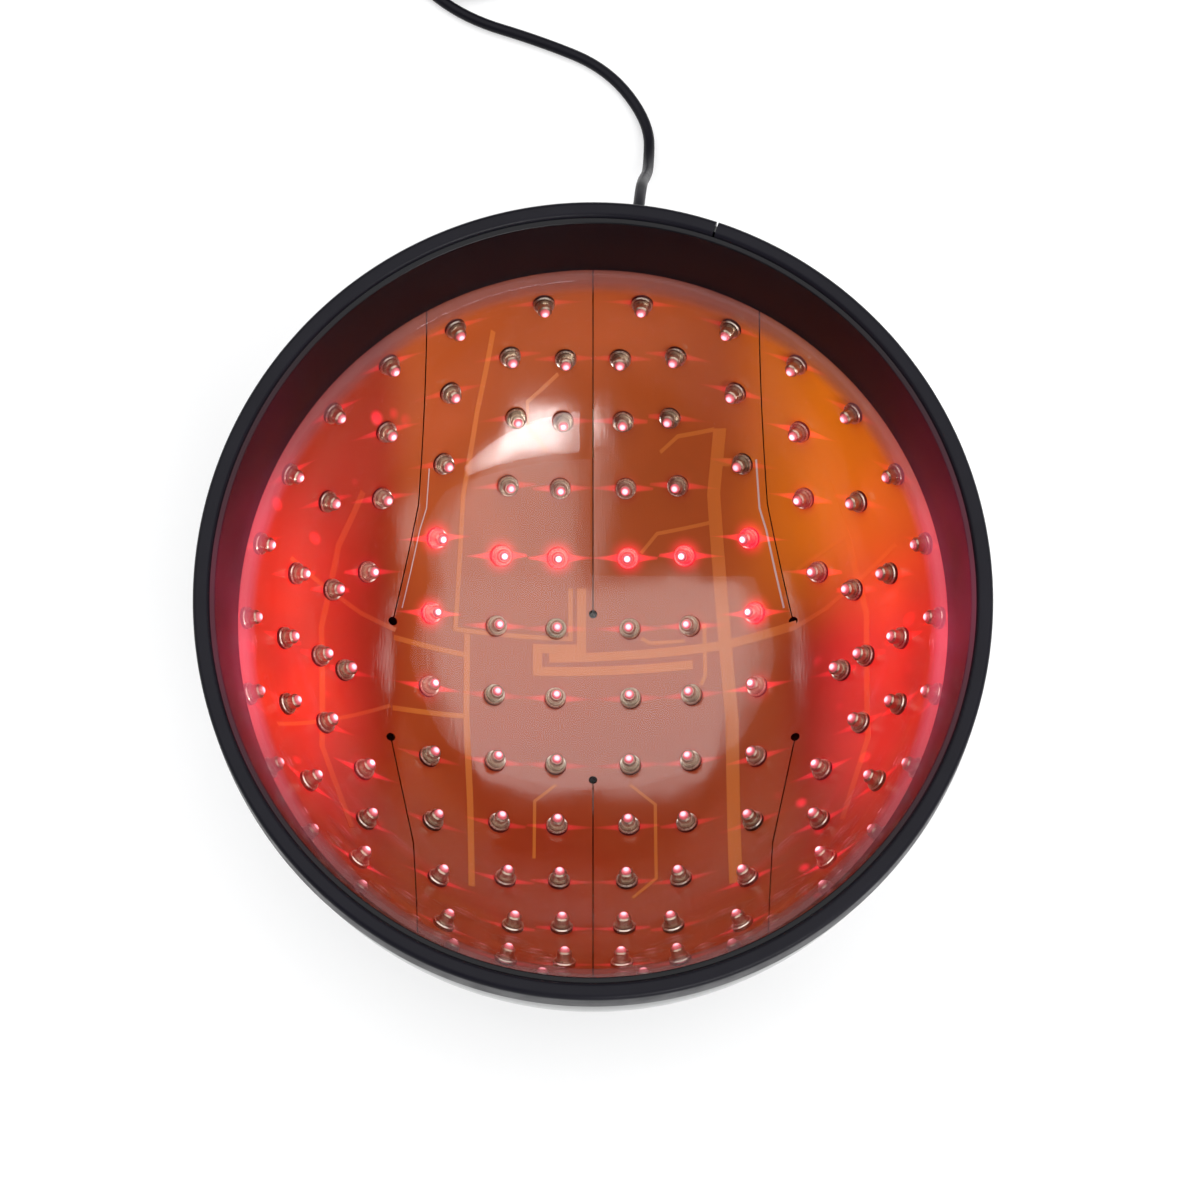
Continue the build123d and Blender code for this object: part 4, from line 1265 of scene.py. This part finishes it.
class CapStage(bpy.types.Operator):
    """Makes the floor, the lights and the camera"""

    bl_idname = "object.cap_stage"
    bl_label = "Stage"

    view_tilt: FloatProperty(
        name="View Tilt", description="Angle of the camera from straight above",
        default=radians(18.4), subtype="ANGLE")
    view_distance: FloatProperty(
        name="View Distance", description="Camera to the middle of the rim", default=0.897, unit="LENGTH")

    def execute(self, context):
        self.floor()
        self.lights()
        self.camera(context)
        context.scene.view_settings.view_transform = "Standard"
        return {"FINISHED"}

    def floor(self):
        material, tree = new_material("pale_floor")
        mottle = noise(tree, 3.0)
        colour = mixed(tree, mottle, (0.54, 0.54, 0.545, 1), (0.58, 0.58, 0.58, 1))
        inputs = {
            "Base Color": colour, "Roughness": 0.7,
            "Emission Color": (1, 1, 1, 1), "Emission Strength": 0.42}
        shader = add(tree, "ShaderNodeBsdfPrincipled", inputs)
        finish_material(material, tree, shader.outputs[0])
        size = 3.0
        corners = [(-size, -size, 0), (size, -size, 0), (size, size, 0), (-size, size, 0)]
        floor = mesh_piece("floor", corners, [(0, 1, 2, 3)], material)

    def lights(self):
        world = bpy.data.worlds.new("studio")
        world.use_nodes = True
        tree = world.node_tree
        direction = tree.nodes.new("ShaderNodeTexCoord").outputs["Generated"]
        height = add(tree, "ShaderNodeSeparateXYZ", {0: direction}).outputs[2]
        background = tree.nodes["Background"]
        background.inputs["Color"].default_value = (0.96, 0.97, 1.0, 1)
        tree.links.new(map_range(tree, height, 0.10, 0.38, 0.85, 0.05), background.inputs["Strength"])
        bpy.context.scene.world = world
        # name, tilt from overhead towards the front, offset to the right, width, height, power
        panels = (
            ("window", 65.0, 0.62, 1.05, 0.34, 15.0),
            ("front_panel", 36.5, 1.02, 2.0, 0.87, 9.5),
            ("overhead_panel", -16.0, 0.0, 4.5, 1.75, 50.0),
        )
        distance = 1.3
        for name, tilt, offset, width, height, power in panels:
            light = bpy.data.lights.new(name, "AREA")
            light.shape = "RECTANGLE"
            light.size, light.size_y, light.energy = width, height, power
            lamp = bpy.data.objects.new(name, light)
            lean = radians(tilt)
            lamp.location = (offset, -distance * sin(lean), RIM_Z + distance * cos(lean))
            lamp.rotation_euler = (lean, 0, 0)
            lamp.visible_camera = False
            bpy.context.scene.collection.objects.link(lamp)

    def camera(self, context):
        data = bpy.data.cameras.new("camera")
        data.sensor_width = 36.0
        data.lens = 113.478
        data.shift_x, data.shift_y = 0.0058333, -0.0116667
        data.clip_start = 0.01
        camera = bpy.data.objects.new("camera", data)
        away = Vector((0, -sin(self.view_tilt), cos(self.view_tilt)))
        camera.location = Vector((0, 0, RIM_Z)) + away * self.view_distance
        camera.rotation_euler = (self.view_tilt, 0, 0)
        bpy.context.scene.collection.objects.link(camera)
        context.scene.camera = camera


class CapPanel(bpy.types.Panel):
    """Lists the cap's sizes, colours and pieces"""

    bl_idname = "VIEW3D_PT_cap"
    bl_label = "Laser Therapy Cap"
    bl_space_type = "VIEW_3D"
    bl_region_type = "UI"
    bl_category = "Cap"

    def draw(self, context):
        layout = self.layout
        for group in (context.scene.cap_sizes, context.scene.cap_colours):
            box = layout.box()
            for name in group.bl_rna.properties.keys():
                if name not in ("rna_type", "name"):
                    box.prop(group, name)
        for operator in OPERATORS:
            layout.operator(operator.bl_idname)


OPERATORS = (CapStage, CapLead, CapShell, CapRim, CapFilm, CapTracks, CapDiodes, CapLiner, CapInside)
CLASSES = (CapSizes, CapColours) + OPERATORS + (CapPanel,)


def register():
    for item in CLASSES:
        bpy.utils.register_class(item)
    bpy.types.Scene.cap_sizes = PointerProperty(type=CapSizes)
    bpy.types.Scene.cap_colours = PointerProperty(type=CapColours)


def unregister():
    del bpy.types.Scene.cap_sizes
    del bpy.types.Scene.cap_colours
    for item in reversed(CLASSES):
        bpy.utils.unregister_class(item)


def main():
    register()
    bpy.ops.object.cap_stage()
    bpy.ops.object.cap_lead()
    bpy.ops.object.cap_shell()
    bpy.ops.object.cap_rim()
    bpy.ops.object.cap_film()
    bpy.ops.object.cap_tracks()
    bpy.ops.object.cap_diodes()
    bpy.ops.object.cap_liner()
    bpy.ops.object.cap_inside()


if __name__ == "__main__":
    main()
